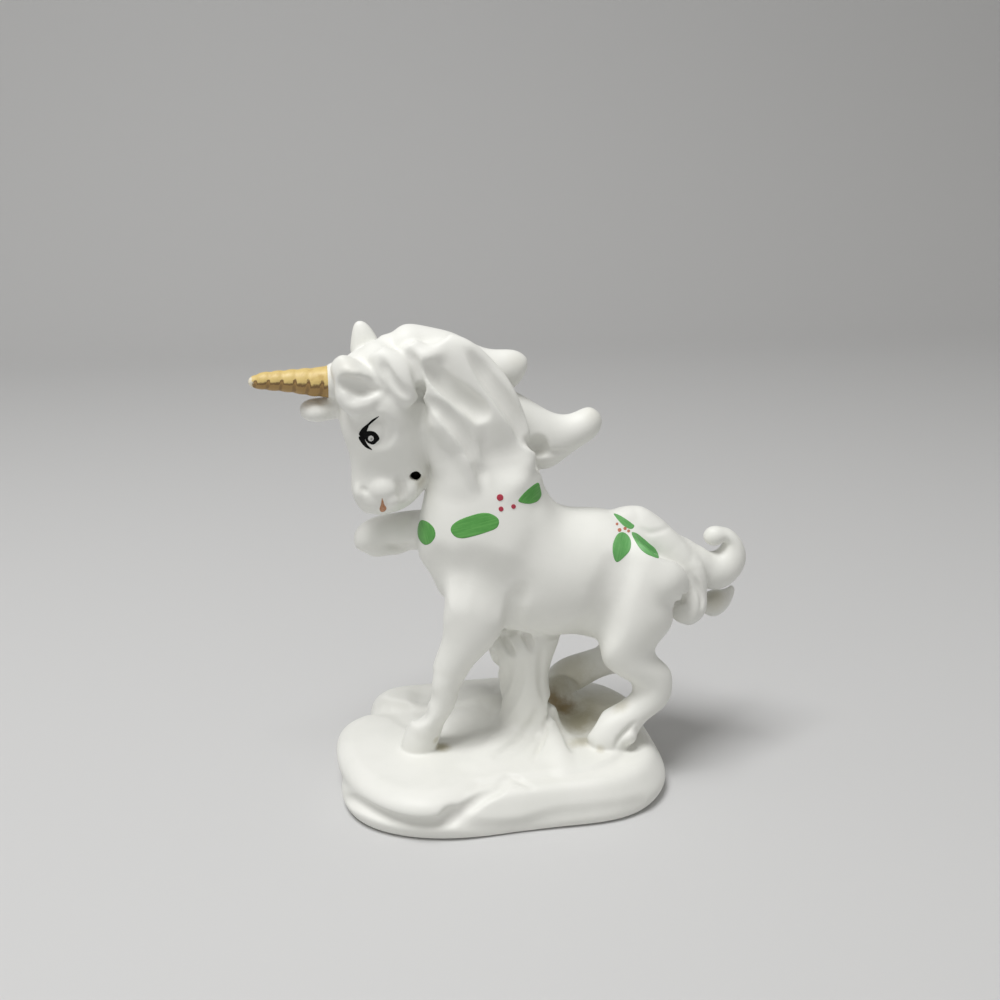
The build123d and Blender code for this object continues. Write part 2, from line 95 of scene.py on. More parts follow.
def curve(
    a: np.ndarray, b: np.ndarray, c: np.ndarray, d: np.ndarray, share: np.ndarray | float
) -> np.ndarray:
    """Points on the smooth curve through four knots, between the middle two.

    Args:
        a: The knot before the stretch.
        b: The knot where it starts.
        c: The knot where it ends.
        d: The knot after it.
        share: How far along it, from 0 to 1.

    Returns:
        The points.
    """
    bend = 2 * a - 5 * b + 4 * c - d
    twist = 3 * (b - c) + d - a
    return b + (share * (c - a) + share**2 * bend + share**3 * twist) / 2


def sides_of(both: bool) -> tuple[bool, ...]:
    """The sides that a mark is on, each as whether it is mirrored there."""
    return (False, True) if both else (False,)


@dataclass(frozen=True)
class View:
    """The photograph's camera, with its lens in pixels and its place in millimetres.

    Args:
        focal: Focal length, in pixels of the photograph.
        azimuth: Where the camera stands round the object, in degrees.
        elevation: How far it looks down, in degrees.
        distance: From the target to the lens.
        target: The point in the middle of the picture.
        width: The picture's side, in pixels.
        sensor: The sensor's side, in millimetres.
    """

    focal: float = 1150.0
    azimuth: float = -10.0
    elevation: float = 17.0
    distance: float = 243.0
    target: tuple[float, float, float] = (0.0, 0.0, 63.5)
    width: float = 1000.0
    sensor: float = 36.0

    @property
    def back(self) -> np.ndarray:
        """The unit vector from the target to the lens."""
        turn, tip = math.radians(self.azimuth), math.radians(self.elevation)
        return np.array([math.sin(turn) * math.cos(tip), -math.cos(turn) * math.cos(tip), math.sin(tip)])

    @property
    def eye(self) -> np.ndarray:
        """The lens's place."""
        return np.array(self.target) + self.back * self.distance

    def ray(self, pixel: Pixel) -> np.ndarray:
        """The unit vector from the lens through a pixel.

        Args:
            pixel: Its place in the photograph.

        Returns:
            The direction, in the object's frame.
        """
        turn = math.radians(self.azimuth)
        right = np.array([math.cos(turn), math.sin(turn), 0.0])
        up = np.cross(self.back, right)
        across, down = pixel[0] - self.width / 2, pixel[1] - self.width / 2
        way = right * (across / self.focal) - up * (down / self.focal) - self.back
        return way / np.linalg.norm(way)

    def place(self) -> None:
        """Makes the scene's camera."""
        lens = bpy.data.cameras.new("camera")
        lens.sensor_width = self.sensor
        lens.lens = self.focal / self.width * self.sensor
        camera = put("camera", lens)
        camera.location = Vector(self.eye * MM)
        camera.rotation_mode = "QUATERNION"
        camera.rotation_quaternion = Vector(-self.back).to_track_quat("-Z", "Y")
        bpy.context.scene.camera = camera


def blend(first: np.ndarray, second: np.ndarray, soft: float) -> np.ndarray:
    """Joins two signed distances with a rounded crease.

    Args:
        first: One distance.
        second: The other.
        soft: How far from the crease the rounding reaches.

    Returns:
        The distance to the joined form.
    """
    reach = np.maximum(soft - np.abs(first - second), 0.0) / soft
    return np.minimum(first, second) - reach * reach * (soft / 4)


class Clay:
    """A block of signed distances to the figurine's skin, negative inside it."""

    stride = 0.7  # The share of the distance ahead that a ray steps.
    least_step = 10  # It steps the pitch over this at least.
    contact = 30  # It has met the skin when it is within the pitch over this.
    last_cell = 1.001  # How far inside the last sample a reading stays.

    def __init__(self, low: np.ndarray, high: np.ndarray, pitch: float, far: float) -> None:
        """Makes an empty block.

        Args:
            low: Its lowest corner.
            high: Its highest corner.
            pitch: The distance between its samples.
            far: The distance that stands for any longer one.
        """
        self.low = np.asarray(low, float)
        self.pitch = pitch
        self.far = far
        self.shape = tuple(int(n) + 1 for n in np.ceil((np.asarray(high) - self.low) / pitch))
        self.skin = np.full(self.shape, far, np.float32)

    def block(self, low: np.ndarray, high: np.ndarray) -> Block:
        """The part of the block between two corners.

        Args:
            low: The lower corner.
            high: The higher corner.

        Returns:
            One slice along each axis.
        """
        first = np.floor((np.asarray(low) - self.low) / self.pitch).astype(int)
        last = np.ceil((np.asarray(high) - self.low) / self.pitch).astype(int) + 1
        pairs = zip(first, last, self.shape)
        return tuple(slice(max(0, int(a)), min(int(b), n)) for a, b, n in pairs)

    def axes(self, block: Block) -> list[np.ndarray]:
        """The samples' places along each axis, shaped so that they combine.

        Args:
            block: The part of the block asked about.

        Returns:
            Three arrays, for x, y and z.
        """
        places = []
        for axis, part in enumerate(block):
            line = self.low[axis] + np.arange(part.start, part.stop, dtype=np.float32) * self.pitch
            shape = [-1 if axis == other else 1 for other in range(3)]
            places.append(line.astype(np.float32).reshape(shape))
        return places

    def sample(self, points: np.ndarray, values: np.ndarray | None = None) -> np.ndarray:
        """The distance at any points, between the samples.

        Args:
            points: One row for each point.
            values: Another block of the same shape to read.

        Returns:
            One value for each point.
        """
        values = self.skin if values is None else values
        at = (np.asarray(points, float) - self.low) / self.pitch
        at = np.clip(at, 0, np.array(self.shape) - self.last_cell)
        whole = at.astype(int)
        part = at - whole
        total = np.zeros(len(at))
        for corner in range(8):
            step = np.array([corner & 1, corner >> 1 & 1, corner >> 2])
            weight = np.prod(np.where(step, part, 1 - part), axis=1)
            index = (whole + step).T
            total += weight * values[index[0], index[1], index[2]]
        return total

    def level(self) -> None:
        """Cuts the clay off level with the ground."""
        heights = self.low[2] + self.pitch * np.arange(self.skin.shape[2], dtype=np.float32)
        np.maximum(self.skin, -heights, out=self.skin)

    def slope(self, points: np.ndarray) -> np.ndarray:
        """The skin's outward unit normal at points on or near it.

        Args:
            points: One row for each point.

        Returns:
            One row for each normal.
        """
        steps = self.pitch * np.eye(3)
        sides = [self.sample(points + step) - self.sample(points - step) for step in steps]
        normals = np.stack(sides, axis=1)
        return normals / np.maximum(np.linalg.norm(normals, axis=1, keepdims=True), TINY)

    def settle(self, points: np.ndarray, rounds: int = 6) -> np.ndarray:
        """Moves points onto the skin by the shortest way.

        Args:
            points: One row for each point.
            rounds: How many steps to take.

        Returns:
            The points on the skin.
        """
        points = np.array(points, float)
        for _ in range(rounds):
            points -= self.slope(points) * self.sample(points)[:, None]
        return points

    def hits(self, eye: np.ndarray, rays: np.ndarray) -> np.ndarray:
        """The first points of the skin on rays, or the skin's nearest points to those that pass by.

        Args:
            eye: Where the rays start.
            rays: One unit direction to a row.

        Returns:
            One row for each point.
        """
        high = self.low + self.pitch * np.array(self.shape)
        walls = np.sort(np.stack([(self.low - eye) / rays, (high - eye) / rays]), axis=0)
        along, end = walls[0].max(axis=1), walls[1].min(axis=1)
        nearest, best = along.copy(), np.full(len(rays), np.inf)
        met = np.zeros(len(rays), bool)
        while np.any(~met & (along < end)):
            distance = self.sample(eye + rays * along[:, None])
            closer = ~met & (distance < best)
            nearest[closer], best[closer] = along[closer], distance[closer]
            met |= distance < self.pitch / self.contact
            step = np.maximum(distance * self.stride, self.pitch / self.least_step)
            along = np.where(met | (along >= end), along, along + step)
        points = eye + rays * nearest[:, None]
        return np.where(met[:, None], points, self.settle(points))


class Frame:
    """The CAD's solids, read as signed distances."""

    def __init__(self, clay: Clay, reach: float, depth: float) -> None:
        """Reads every node.

        Args:
            clay: The block to fill.
            reach: How far outside a solid its distance is known.
            depth: How far inside.
        """
        self.clay = clay
        self.reach = reach
        self.depth = depth
        self.blocks: dict[str, Block] = {}
        self.fields: dict[str, np.ndarray] = {}
        for name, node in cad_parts.items():
            self.read(name, node.data)

    def read(self, name: str, mesh: bpy.types.Mesh) -> None:
        """Reads one node.

        Args:
            name: The node's name.
            mesh: Its mesh, in metres.
        """
        points = np.empty(len(mesh.vertices) * 3, np.float32)
        mesh.vertices.foreach_get("co", points)
        points = points.reshape(-1, 3) / MM
        mesh.calc_loop_triangles()
        corners = np.empty(len(mesh.loop_triangles) * 3, np.int32)
        mesh.loop_triangles.foreach_get("vertices", corners)
        pitch = self.clay.pitch
        grid = vdb.FloatGrid.createLevelSetFromPolygons(
            ((points - self.clay.low) / pitch).astype(np.float32),
            triangles=corners.reshape(-1, 3).astype(np.uint32),
            transform=vdb.createLinearTransform(1.0),
            exBandWidth=self.reach / pitch,
            inBandWidth=self.depth / pitch,
        )
        block = self.clay.block(points.min(0) - self.reach, points.max(0) + self.reach)
        values = np.empty([part.stop - part.start for part in block], np.float32)
        grid.copyToArray(values, ijk=tuple(part.start for part in block))
        self.blocks[name] = block
        self.fields[name] = values * np.float32(pitch)

    def union(self, names: Sequence[str], into: np.ndarray) -> None:
        """Adds solids to a block of distances.

        Args:
            names: The nodes to add.
            into: The block, changed in place.
        """
        for name in names:
            part = into[self.blocks[name]]
            np.minimum(part, self.fields[name], out=part)

    def owners(self) -> tuple[np.ndarray, np.ndarray, np.ndarray]:
        """The nearest node at each sample, and the distances to the nearest two.

        Returns:
            The nearest node's number, its distance and the next one's distance.
        """
        nearest = np.full(self.clay.shape, self.clay.far, np.float32)
        second = nearest.copy()
        owner = np.full(self.clay.shape, -1, np.int8)
        for number, (name, block) in enumerate(self.blocks.items()):
            value, first, other, whose = self.fields[name], nearest[block], second[block], owner[block]
            closer = value < first
            np.minimum(other, np.where(closer, first, value), out=other)
            first[closer] = value[closer]
            whose[closer] = number
        return owner, nearest, second


def close_creases(values: np.ndarray, radius: float, pitch: float) -> np.ndarray:
    """Rounds every inward crease of a form as a filling of slip would, and leaves the rest.

    Args:
        values: Distances to the form.
        radius: The rounding's radius.
        pitch: The distance between samples.

    Returns:
        Distances to the rounded form.
    """
    grid = vdb.FloatGrid(float(values.max()) / pitch)
    grid.transform = vdb.createLinearTransform(1.0)
    grid.copyFromArray(values / np.float32(pitch), ijk=(0, 0, 0), tolerance=0)
    points, quads = grid.convertToQuads(isovalue=radius / pitch)
    rounded = vdb.FloatGrid.createLevelSetFromPolygons(
        points, quads=quads, transform=vdb.createLinearTransform(1.0),
        exBandWidth=SLIP_OUT / pitch, inBandWidth=(radius + SLIP_IN) / pitch,
    )
    filled = np.empty(values.shape, np.float32)
    rounded.copyToArray(filled, ijk=(0, 0, 0))
    return filled * np.float32(pitch) + np.float32(radius)


def rub(values: np.ndarray, rounds: int) -> np.ndarray:
    """Evens out a block of distances with its neighbours, which takes off facets and sharp edges.

    Args:
        values: The distances.
        rounds: How often to rub.

    Returns:
        The smoothed distances.
    """
    for _ in range(rounds):
        for axis in range(3):
            line = np.moveaxis(values, axis, 0)
            inner = (line[:-2] + line[2:]) * np.float32(0.25) + line[1:-1] * np.float32(0.5)
            line = np.concatenate([line[:1], inner, line[-1:]])
            values = np.moveaxis(line, 0, axis)
    return np.ascontiguousarray(values)


class Hand:
    """A modeller's hand: it puts tools to the clay where the photograph shows their marks."""

    def __init__(self, clay: Clay, view: View) -> None:
        """Takes up the clay.

        Args:
            clay: What is modelled.
            view: The camera that the pixels belong to.
        """
        self.clay = clay
        self.view = view

    def touch(self, pixels: Sequence[Pixel], mirrored: bool = False) -> np.ndarray:
        """The points of the skin that pixels show.

        Args:
            pixels: Their places in the photograph.
            mirrored: True for the same points on the far side.

        Returns:
            One row for each point.
        """
        rays = np.array([self.view.ray(pixel) for pixel in pixels])
        points = self.clay.hits(self.view.eye, rays)
        return self.clay.settle(points * np.array([1.0, -1.0, 1.0])) if mirrored else points

    def trail(self, path: Path, mirrored: bool, count: int = 4) -> np.ndarray:
        """Points on the skin along a path of pixels.

        Args:
            path: The pixels.
            mirrored: True for the same marks on the far side.
            count: How many points to each stretch between pixels.

        Returns:
            One row for each point.
        """
        knots = self.touch(path, mirrored)
        padded = np.concatenate([2 * knots[:1] - knots[1:2], knots, 2 * knots[-1:] - knots[-2:-1]])
        stretches = zip(padded, padded[1:], padded[2:], padded[3:])
        points = [curve(*four, share) for four in stretches for share in np.arange(count) / count]
        return self.clay.settle(np.array([*points, knots[-1]]))

    def work(self, marks: "Sequence[Stroke | Dab | Bore]") -> None:
        """Makes marks one after the other, on the far side too where they say so.

        Args:
            marks: The marks.
        """
        for mark in marks:
            for mirrored in sides_of(mark.both):
                mark.make(self, mirrored)

    def sweep(self, middle: np.ndarray, tool: float, touch: Touch, soft: float) -> None:
        """Adds or carves a round rod.

        Args:
            middle: The points of its centreline.
            tool: Its radius.
            touch: Whether clay is carved or added.
            soft: How far the edges are rounded.
        """
        margin = tool + soft + self.clay.pitch
        block = self.clay.block(middle.min(0) - margin, middle.max(0) + margin)
        x, y, z = self.clay.axes(block)
        rod = np.full(self.clay.skin[block].shape, self.clay.far, np.float32)
        for start, end in zip(middle, middle[1:]):
            run = end - start
            length = max(float(run @ run), TINY)
            share = ((x - start[0]) * run[0] + (y - start[1]) * run[1] + (z - start[2]) * run[2]) / length
            share = np.clip(share, 0, 1).astype(np.float32)
            gap = [axis - start[k] - share * run[k] for k, axis in enumerate((x, y, z))]
            np.minimum(rod, np.sqrt(gap[0] ** 2 + gap[1] ** 2 + gap[2] ** 2) - tool, out=rod)
        self.merge(block, rod, touch, soft)

    def merge(self, block: Block, form: np.ndarray, touch: Touch, soft: float) -> None:
        """Adds a form to the clay or takes it away.

        Args:
            block: The part of the clay that it is in.
            form: Distances to it there.
            touch: Whether clay is carved or added.
            soft: How far the edges are rounded.
        """
        skin = self.clay.skin[block]
        skin[...] = touch.value * blend(skin * touch.value, form, soft)

    def oval(
        self, middle: np.ndarray, ways: tuple[np.ndarray, np.ndarray, np.ndarray],
        size: tuple[float, float, float], touch: Touch, soft: float,
    ) -> None:
        """Adds or carves an egg shape.

        Args:
            middle: Its middle.
            ways: Its three axes.
            size: Half its size along each.
            touch: Whether clay is carved or added.
            soft: How far the edges are rounded.
        """
        margin = max(size) + soft + self.clay.pitch
        block = self.clay.block(middle - margin, middle + margin)
        x, y, z = self.clay.axes(block)
        once = np.zeros(self.clay.skin[block].shape, np.float32)
        twice = once.copy()
        for way, half in zip(ways, size):
            along = (x - middle[0]) * way[0] + (y - middle[1]) * way[1] + (z - middle[2]) * way[2]
            once += (along / half) ** 2
            twice += (along / half**2) ** 2
        once, twice = np.sqrt(once), np.sqrt(np.maximum(twice, TINY))
        self.merge(block, (once * (once - 1) / twice).astype(np.float32), touch, soft)


@dataclass(frozen=True)
class Stroke:
    """A drag of a round tool, which leaves a groove or a ridge.

    Args:
        path: The pixels that it passes.
        tool: The tool's radius.
        depth: The groove's depth or the ridge's height.
        touch: Whether clay is carved or added.
        soft: How far the edges are rounded.
        both: True for the same mark on the far side too.
        fade: The shares of the path over which the mark starts and ends.
    """

    path: Path
    tool: float
    depth: float
    touch: Touch = Touch.CARVE
    soft: float = 0.6
    both: bool = False
    fade: tuple[float, float] = (0.3, 0.3)

    def make(self, hand: Hand, mirrored: bool) -> None:
        """Drags the tool."""
        trail = hand.trail(self.path, mirrored)
        share = np.linspace(0, 1, len(trail))
        strength = np.clip(np.minimum(share / self.fade[0], (1 - share) / self.fade[1]), 0, 1)
        offset = self.tool - self.depth * np.sin(strength * math.pi / 2)
        middle = trail - hand.clay.slope(trail) * (self.touch.value * offset)[:, None]
        hand.sweep(middle, self.tool, self.touch, self.soft)


@dataclass(frozen=True)
class Dab:
    """A press of an oval tool, which leaves a dent or a lump.

    Args:
        pixel: The mark's middle.
        size: Half its length, half its height and half its thickness.
        sink: How far its middle lies under the skin.
        touch: Whether clay is carved or added.
        soft: How far the edges are rounded.
        turn: How far its length is turned in the picture, in degrees.
        both: True for the same mark on the far side too.
    """

    pixel: Pixel
    size: tuple[float, float, float]
    sink: float
    touch: Touch = Touch.ADD
    soft: float = 0.8
    turn: float = 0.0
    both: bool = False

    def make(self, hand: Hand, mirrored: bool) -> None:
        """Presses the tool."""
        middle = hand.touch([self.pixel], mirrored)[0]
        normal = hand.clay.slope(middle[None])[0]
        side = np.cross(normal, [0.0, 0.0, 1.0])
        side *= np.sign(side[0]) / np.linalg.norm(side)
        rise = np.cross(side, normal)
        rise *= np.sign(rise[2])
        angle = math.radians(self.turn)
        long_way = side * math.cos(angle) + rise * math.sin(angle)
        high_way = rise * math.cos(angle) - side * math.sin(angle)
        ways = (long_way, high_way, normal)
        hand.oval(middle - normal * self.sink, ways, self.size, self.touch, self.soft)


@dataclass(frozen=True)
class Bore:
    """A round hole straight into the clay.

    Args:
        pixel: The middle of its mouth.
        radius: Its radius.
        depth: Its depth.
        soft: How far its lip is rounded.
        both: True for another on the far side.
    """

    pixel: Pixel
    radius: float
    depth: float
    soft: float = 0.4
    both: bool = False

    def make(self, hand: Hand, mirrored: bool) -> None:
        """Drills the hole the way that the photograph looks into it."""
        mouth = hand.touch([self.pixel], mirrored)[0]
        inward = hand.view.ray(self.pixel)
        middle = np.array([mouth - inward * self.radius, mouth + inward * (self.depth - self.radius)])
        hand.sweep(middle, self.radius, Touch.CARVE, self.soft)


@dataclass
class Socket:
    """A shader value that Python's operators work on, each adding its Math node."""

    shop: "Shop"
    link: bpy.types.NodeSocket

    def math(self, operation: str, *others: "Socket | float") -> "Socket":
        """Adds one Math node.

        Args:
            operation: Blender's name for it.
            others: The values after this one.

        Returns:
            The result.
        """
        return self.shop.math(operation, self, *others)

    def __add__(self, other: "Socket | float") -> "Socket":
        """The sum."""
        return self.math("ADD", other)

    __radd__ = __add__

    def __mul__(self, other: "Socket | float") -> "Socket":
        """The product."""
        return self.math("MULTIPLY", other)

    __rmul__ = __mul__

    def __sub__(self, other: "Socket | float") -> "Socket":
        """The difference."""
        return self.math("SUBTRACT", other)

    def __rsub__(self, other: float) -> "Socket":
        """A number less this value."""
        return self.shop.math("SUBTRACT", other, self)

    def __truediv__(self, other: "Socket | float") -> "Socket":
        """The quotient."""
        return self.math("DIVIDE", other)

    def __rtruediv__(self, other: float) -> "Socket":
        """A number divided by this value."""
        return self.shop.math("DIVIDE", other, self)

    def lowest(self, other: "Socket | float") -> "Socket":
        """The lower of two values."""
        return self.math("MINIMUM", other)

    def highest(self, other: "Socket | float") -> "Socket":
        """The higher of two values."""
        return self.math("MAXIMUM", other)

    def steps(self, start: float, end: float) -> "Socket":
        """A smooth rise from 0 at one value to 1 at another.

        Args:
            start: Where it is still 0.
            end: Where it is 1; lower than start for a fall.

        Returns:
            The share.
        """
        low, high = sorted((start, end))
        inputs = {"Value": self, "From Min": low, "From Max": high}
        rise = self.shop.node("ShaderNodeMapRange", {"interpolation_type": "SMOOTHSTEP"}, inputs)
        return rise if start < end else 1.0 - rise


@dataclass(frozen=True)
class Grain:
    """A cloudy pattern on a surface.

    Args:
        size: How far apart its blotches are, in millimetres.
        detail: How many finer layers it has.
        rough: How strong they are.
    """

    size: float
    detail: float = 4.0
    rough: float = 0.55


@dataclass(frozen=True)
class Layer:
    """A thin layer that shows in patches.

    Args:
        grain: The pattern of the patches.
        span: The pattern's values at which the layer starts and is whole.
        share: How much of it shows where it is whole.
    """

    grain: Grain
    span: tuple[float, float]
    share: float


@dataclass(frozen=True)
class Relief:
    """Unevenness too fine for the mesh.

    Args:
        grain: Its pattern.
        depth: How deep it is, in millimetres.
        strength: How much of it shows.
    """

    grain: Grain
    depth: float
    strength: float


class Shop:
    """Where a material, or the world's light, is mixed: it adds nodes and wires them."""

    mix_share, mix_first, mix_second, mix_result = 0, 6, 7, 2  # The Mix node's sockets for colours.

    def __init__(self, owner: bpy.types.Material | bpy.types.World) -> None:
        """Clears the bench.

        Args:
            owner: What the nodes belong to.
        """
        owner.use_nodes = True
        self.tree = owner.node_tree
        self.tree.nodes.clear()

    def node(
        self, kind: str, settings: dict[str, object] | None = None,
        inputs: dict[str | int, object] | None = None, output: str | int = 0,
    ) -> Socket | None:
        """Adds any node.

        Args:
            kind: Its type.
            settings: Its properties, set first.
            inputs: The values or links of its sockets.
            output: Which output to hand back.

        Returns:
            That output, or None from a node that has none.
        """
        node = self.tree.nodes.new(kind)
        for name, value in (settings or {}).items():
            setattr(node, name, value)
        for name, value in (inputs or {}).items():
            socket = node.inputs[name]
            if isinstance(value, Socket):
                self.tree.links.new(value.link, socket)
            else:
                socket.default_value = (*value, 1.0) if socket.type == "RGBA" else value
        return Socket(self, node.outputs[output]) if node.outputs else None

    def math(self, operation: str, *values: Socket | float) -> Socket:
        """Adds one Math node.

        Args:
            operation: Blender's name for it.
            values: What it works on.

        Returns:
            The result.
        """
        return self.node("ShaderNodeMath", {"operation": operation}, dict(enumerate(values)))

    def place(self) -> Socket:
        """A point's place in the object's frame, in metres."""
        return self.node("ShaderNodeTexCoord", output="Object")

    def part(self, vector: Socket, axis: str) -> Socket:
        """One of a vector's three numbers."""
        return self.node("ShaderNodeSeparateXYZ", {}, {0: vector}, axis)

    def gap(self, spot: Sequence[float]) -> Socket:
        """How far a point is from a spot, both measured in millimetres."""
        inputs = {0: self.place(), 1: tuple(float(value) * MM for value in spot)}
        return self.node("ShaderNodeVectorMath", {"operation": "DISTANCE"}, inputs, "Value") / MM

    def share(self, attribute: str) -> Socket:
        """A named number of the mesh."""
        return self.node("ShaderNodeAttribute", {"attribute_name": attribute}, output="Fac")

    def noise(self, grain: Grain) -> Socket:
        """A cloudy pattern's value, from 0 to 1."""
        inputs = {"Scale": 1 / (grain.size * MM), "Detail": grain.detail, "Roughness": grain.rough}
        return self.node("ShaderNodeTexNoise", {}, {"Vector": self.place(), **inputs}, "Fac")

    def cover(self, layer: Layer) -> Socket:
        """How much of a patchy layer shows."""
        return self.noise(layer.grain).steps(*layer.span) * layer.share

    def mix(self, share: Socket | float, first: Socket | Colour, second: Socket | Colour) -> Socket:
        """A colour between two.

        Args:
            share: How much of the second one.
            first: One colour.
            second: The other.

        Returns:
            The mixed colour.
        """
        inputs = {self.mix_share: share, self.mix_first: first, self.mix_second: second}
        return self.node("ShaderNodeMix", {"data_type": "RGBA"}, inputs, self.mix_result)

    def bump(self, height: Socket, relief: Relief, under: Socket | None = None) -> Socket:
        """A normal bent by a height.

        Args:
            height: The height, from 0 to 1.
            relief: How deep and how strong it is.
            under: A normal to start from.

        Returns:
            The normal.
        """
        inputs = {"Height": height, "Distance": relief.depth * MM, "Strength": relief.strength}
        return self.node("ShaderNodeBump", {}, inputs if under is None else {**inputs, "Normal": under})

    def finish(
        self, colour: Socket | Colour, rough: Socket | float, normal: Socket, shine: float = 0.5
    ) -> None:
        """Closes a material with its surface shader.

        Args:
            colour: Its base colour.
            rough: Its roughness.
            normal: Its bumped normal.
            shine: How strongly it reflects.
        """
        inputs = {"Base Color": colour, "Roughness": rough, "Normal": normal, "Specular IOR Level": shine}
        surface = self.node("ShaderNodeBsdfPrincipled", {}, inputs)
        self.node("ShaderNodeOutputMaterial", {}, {"Surface": surface})


TAN: Colour = (0.38, 0.34, 0.20)
BROWN: Colour = (0.26, 0.18, 0.07)


@dataclass(frozen=True)
class Stain:
    """A mark on the porcelain that a kiln, a finger or a dry brush left.

    Args:
        pixel: Its middle in the photograph.
        radius: How far it spreads, in millimetres.
        strength: How strong it is in its middle.
        colour: Its colour.
    """

    pixel: Pixel
    radius: float
    strength: float
    colour: Colour = TAN


@dataclass(frozen=True)
class Bisque:
    """Unglazed white porcelain: fine tooth, faint clouding, and brown dust with painted shade in the
    creases.

    Args:
        white: The clean body.
        shade: The duller cloud in it.
        dust_and_crease_shade: The brown of old dust, which also paints the shade in the creases.
        vent_shade: The painted shade inside the vent.
        cloud: Where the shade lies.
        crease_dust_and_shade: Where dust and painted shade lie in a crease.
        speck: Where single grains of dust lie.
        crease_span: How deep a crease starts to hold dust and painted shade, and how deep it is full.
        ragged: The pattern that makes a stain's edge uneven.
        rag: How uneven it makes it.
        stain_span: The shares of a stain's radius at which it starts and is whole.
        vent_span: How deep in the vent the painted shade starts and is whole, in millimetres.
        reliefs: Its dimples, and the tooth of the clay.
        sheen: The pattern of its roughness.
        rough: Its least roughness.
        rough_swing: How much rougher it gets.
        shine: How strongly it reflects.
        stains: The marks on it.
    """

    white: Colour = (0.84, 0.84, 0.80)
    shade: Colour = (0.785, 0.79, 0.745)
    dust_and_crease_shade: Colour = (0.42, 0.34, 0.23)
    vent_shade: Colour = (0.012, 0.010, 0.006)
    cloud: Layer = Layer(Grain(9.0, 3.0), (0.35, 0.7), 0.5)
    crease_dust_and_shade: Layer = Layer(Grain(3.0, 5.0, 0.65), (0.3, 0.75), 0.4)
    speck: Layer = Layer(Grain(0.5, 2.0), (0.77, 0.82), 0.3)
    crease_span: tuple[float, float] = (0.25, 1.6)
    ragged: Grain = Grain(2.4, 5.0, 0.7)
    rag: float = 0.8
    stain_span: tuple[float, float] = (1.25, 0.15)
    vent_span: tuple[float, float] = (0.3, 1.2)
    reliefs: tuple[Relief, ...] = (
        Relief(Grain(2.2, 2.0, 0.5), 0.05, 0.3), Relief(Grain(0.16, 3.0, 0.7), 0.012, 0.3),
    )
    sheen: Grain = Grain(5.0)
    rough: float = 0.44
    rough_swing: float = 0.12
    shine: float = 0.38
    stains: tuple[Stain, ...] = (
        Stain((421, 482), 1.8, 0.35),
        Stain((577, 722), 7.0, 0.7),
        Stain((582, 741), 3.4, 0.5),
        Stain((600, 704), 8.0, 0.4),
        Stain((570, 672), 6.0, 0.4),
        Stain((557, 688), 4.0, 0.45),
        Stain((551, 697), 2.6, 0.75, BROWN),
        Stain((565, 708), 3.2, 0.8, BROWN),
        Stain((557, 704), 2.6, 0.6, BROWN),
        Stain((620, 705), 2.5, 0.35),
        Stain((600, 749), 1.2, 0.35),
        Stain((442, 747), 2.2, 0.75),
        Stain((436, 740), 1.0, 0.4),
        Stain((714, 598), 3.8, 0.35),
        Stain((517, 360), 2.6, 0.10),
        Stain((592, 412), 2.6, 0.12),
        Stain((348, 366), 3.0, 0.12),
    )

    def make(self, hand: Hand) -> bpy.types.Material:
        """Mixes the material.

        Args:
            hand: What finds the stains' places.

        Returns:
            The material.
        """
        material = bpy.data.materials.new("bisque")
        shop = Shop(material)
        colour = shop.mix(shop.cover(self.cloud), self.white, self.shade)
        # Partly real dust, partly painted shade: the creases are darkened in patches with the dust's brown.
        crease = shop.share("crease").steps(*self.crease_span)
        colour = shop.mix(crease * shop.cover(self.crease_dust_and_shade), colour, self.dust_and_crease_shade)
        colour = shop.mix(shop.cover(self.speck), colour, self.dust_and_crease_shade)
        ragged = (shop.noise(self.ragged) - 0.5) * self.rag
        for stain in self.stains:
            gap = shop.gap(hand.touch([stain.pixel])[0])
            mark = (gap / stain.radius + ragged).steps(*self.stain_span)
            colour = shop.mix(mark * stain.strength, colour, stain.colour)
        # Painted shade: the inside of the vent is darkened by its depth under the skin.
        colour = shop.mix(shop.share("depth").steps(*self.vent_span), colour, self.vent_shade)
        normal = None
        for relief in self.reliefs:
            normal = shop.bump(shop.noise(relief.grain), relief, normal)
        rough = shop.noise(self.sheen) * self.rough_swing + self.rough
        shop.finish(colour, rough, normal, self.shine)
        return material


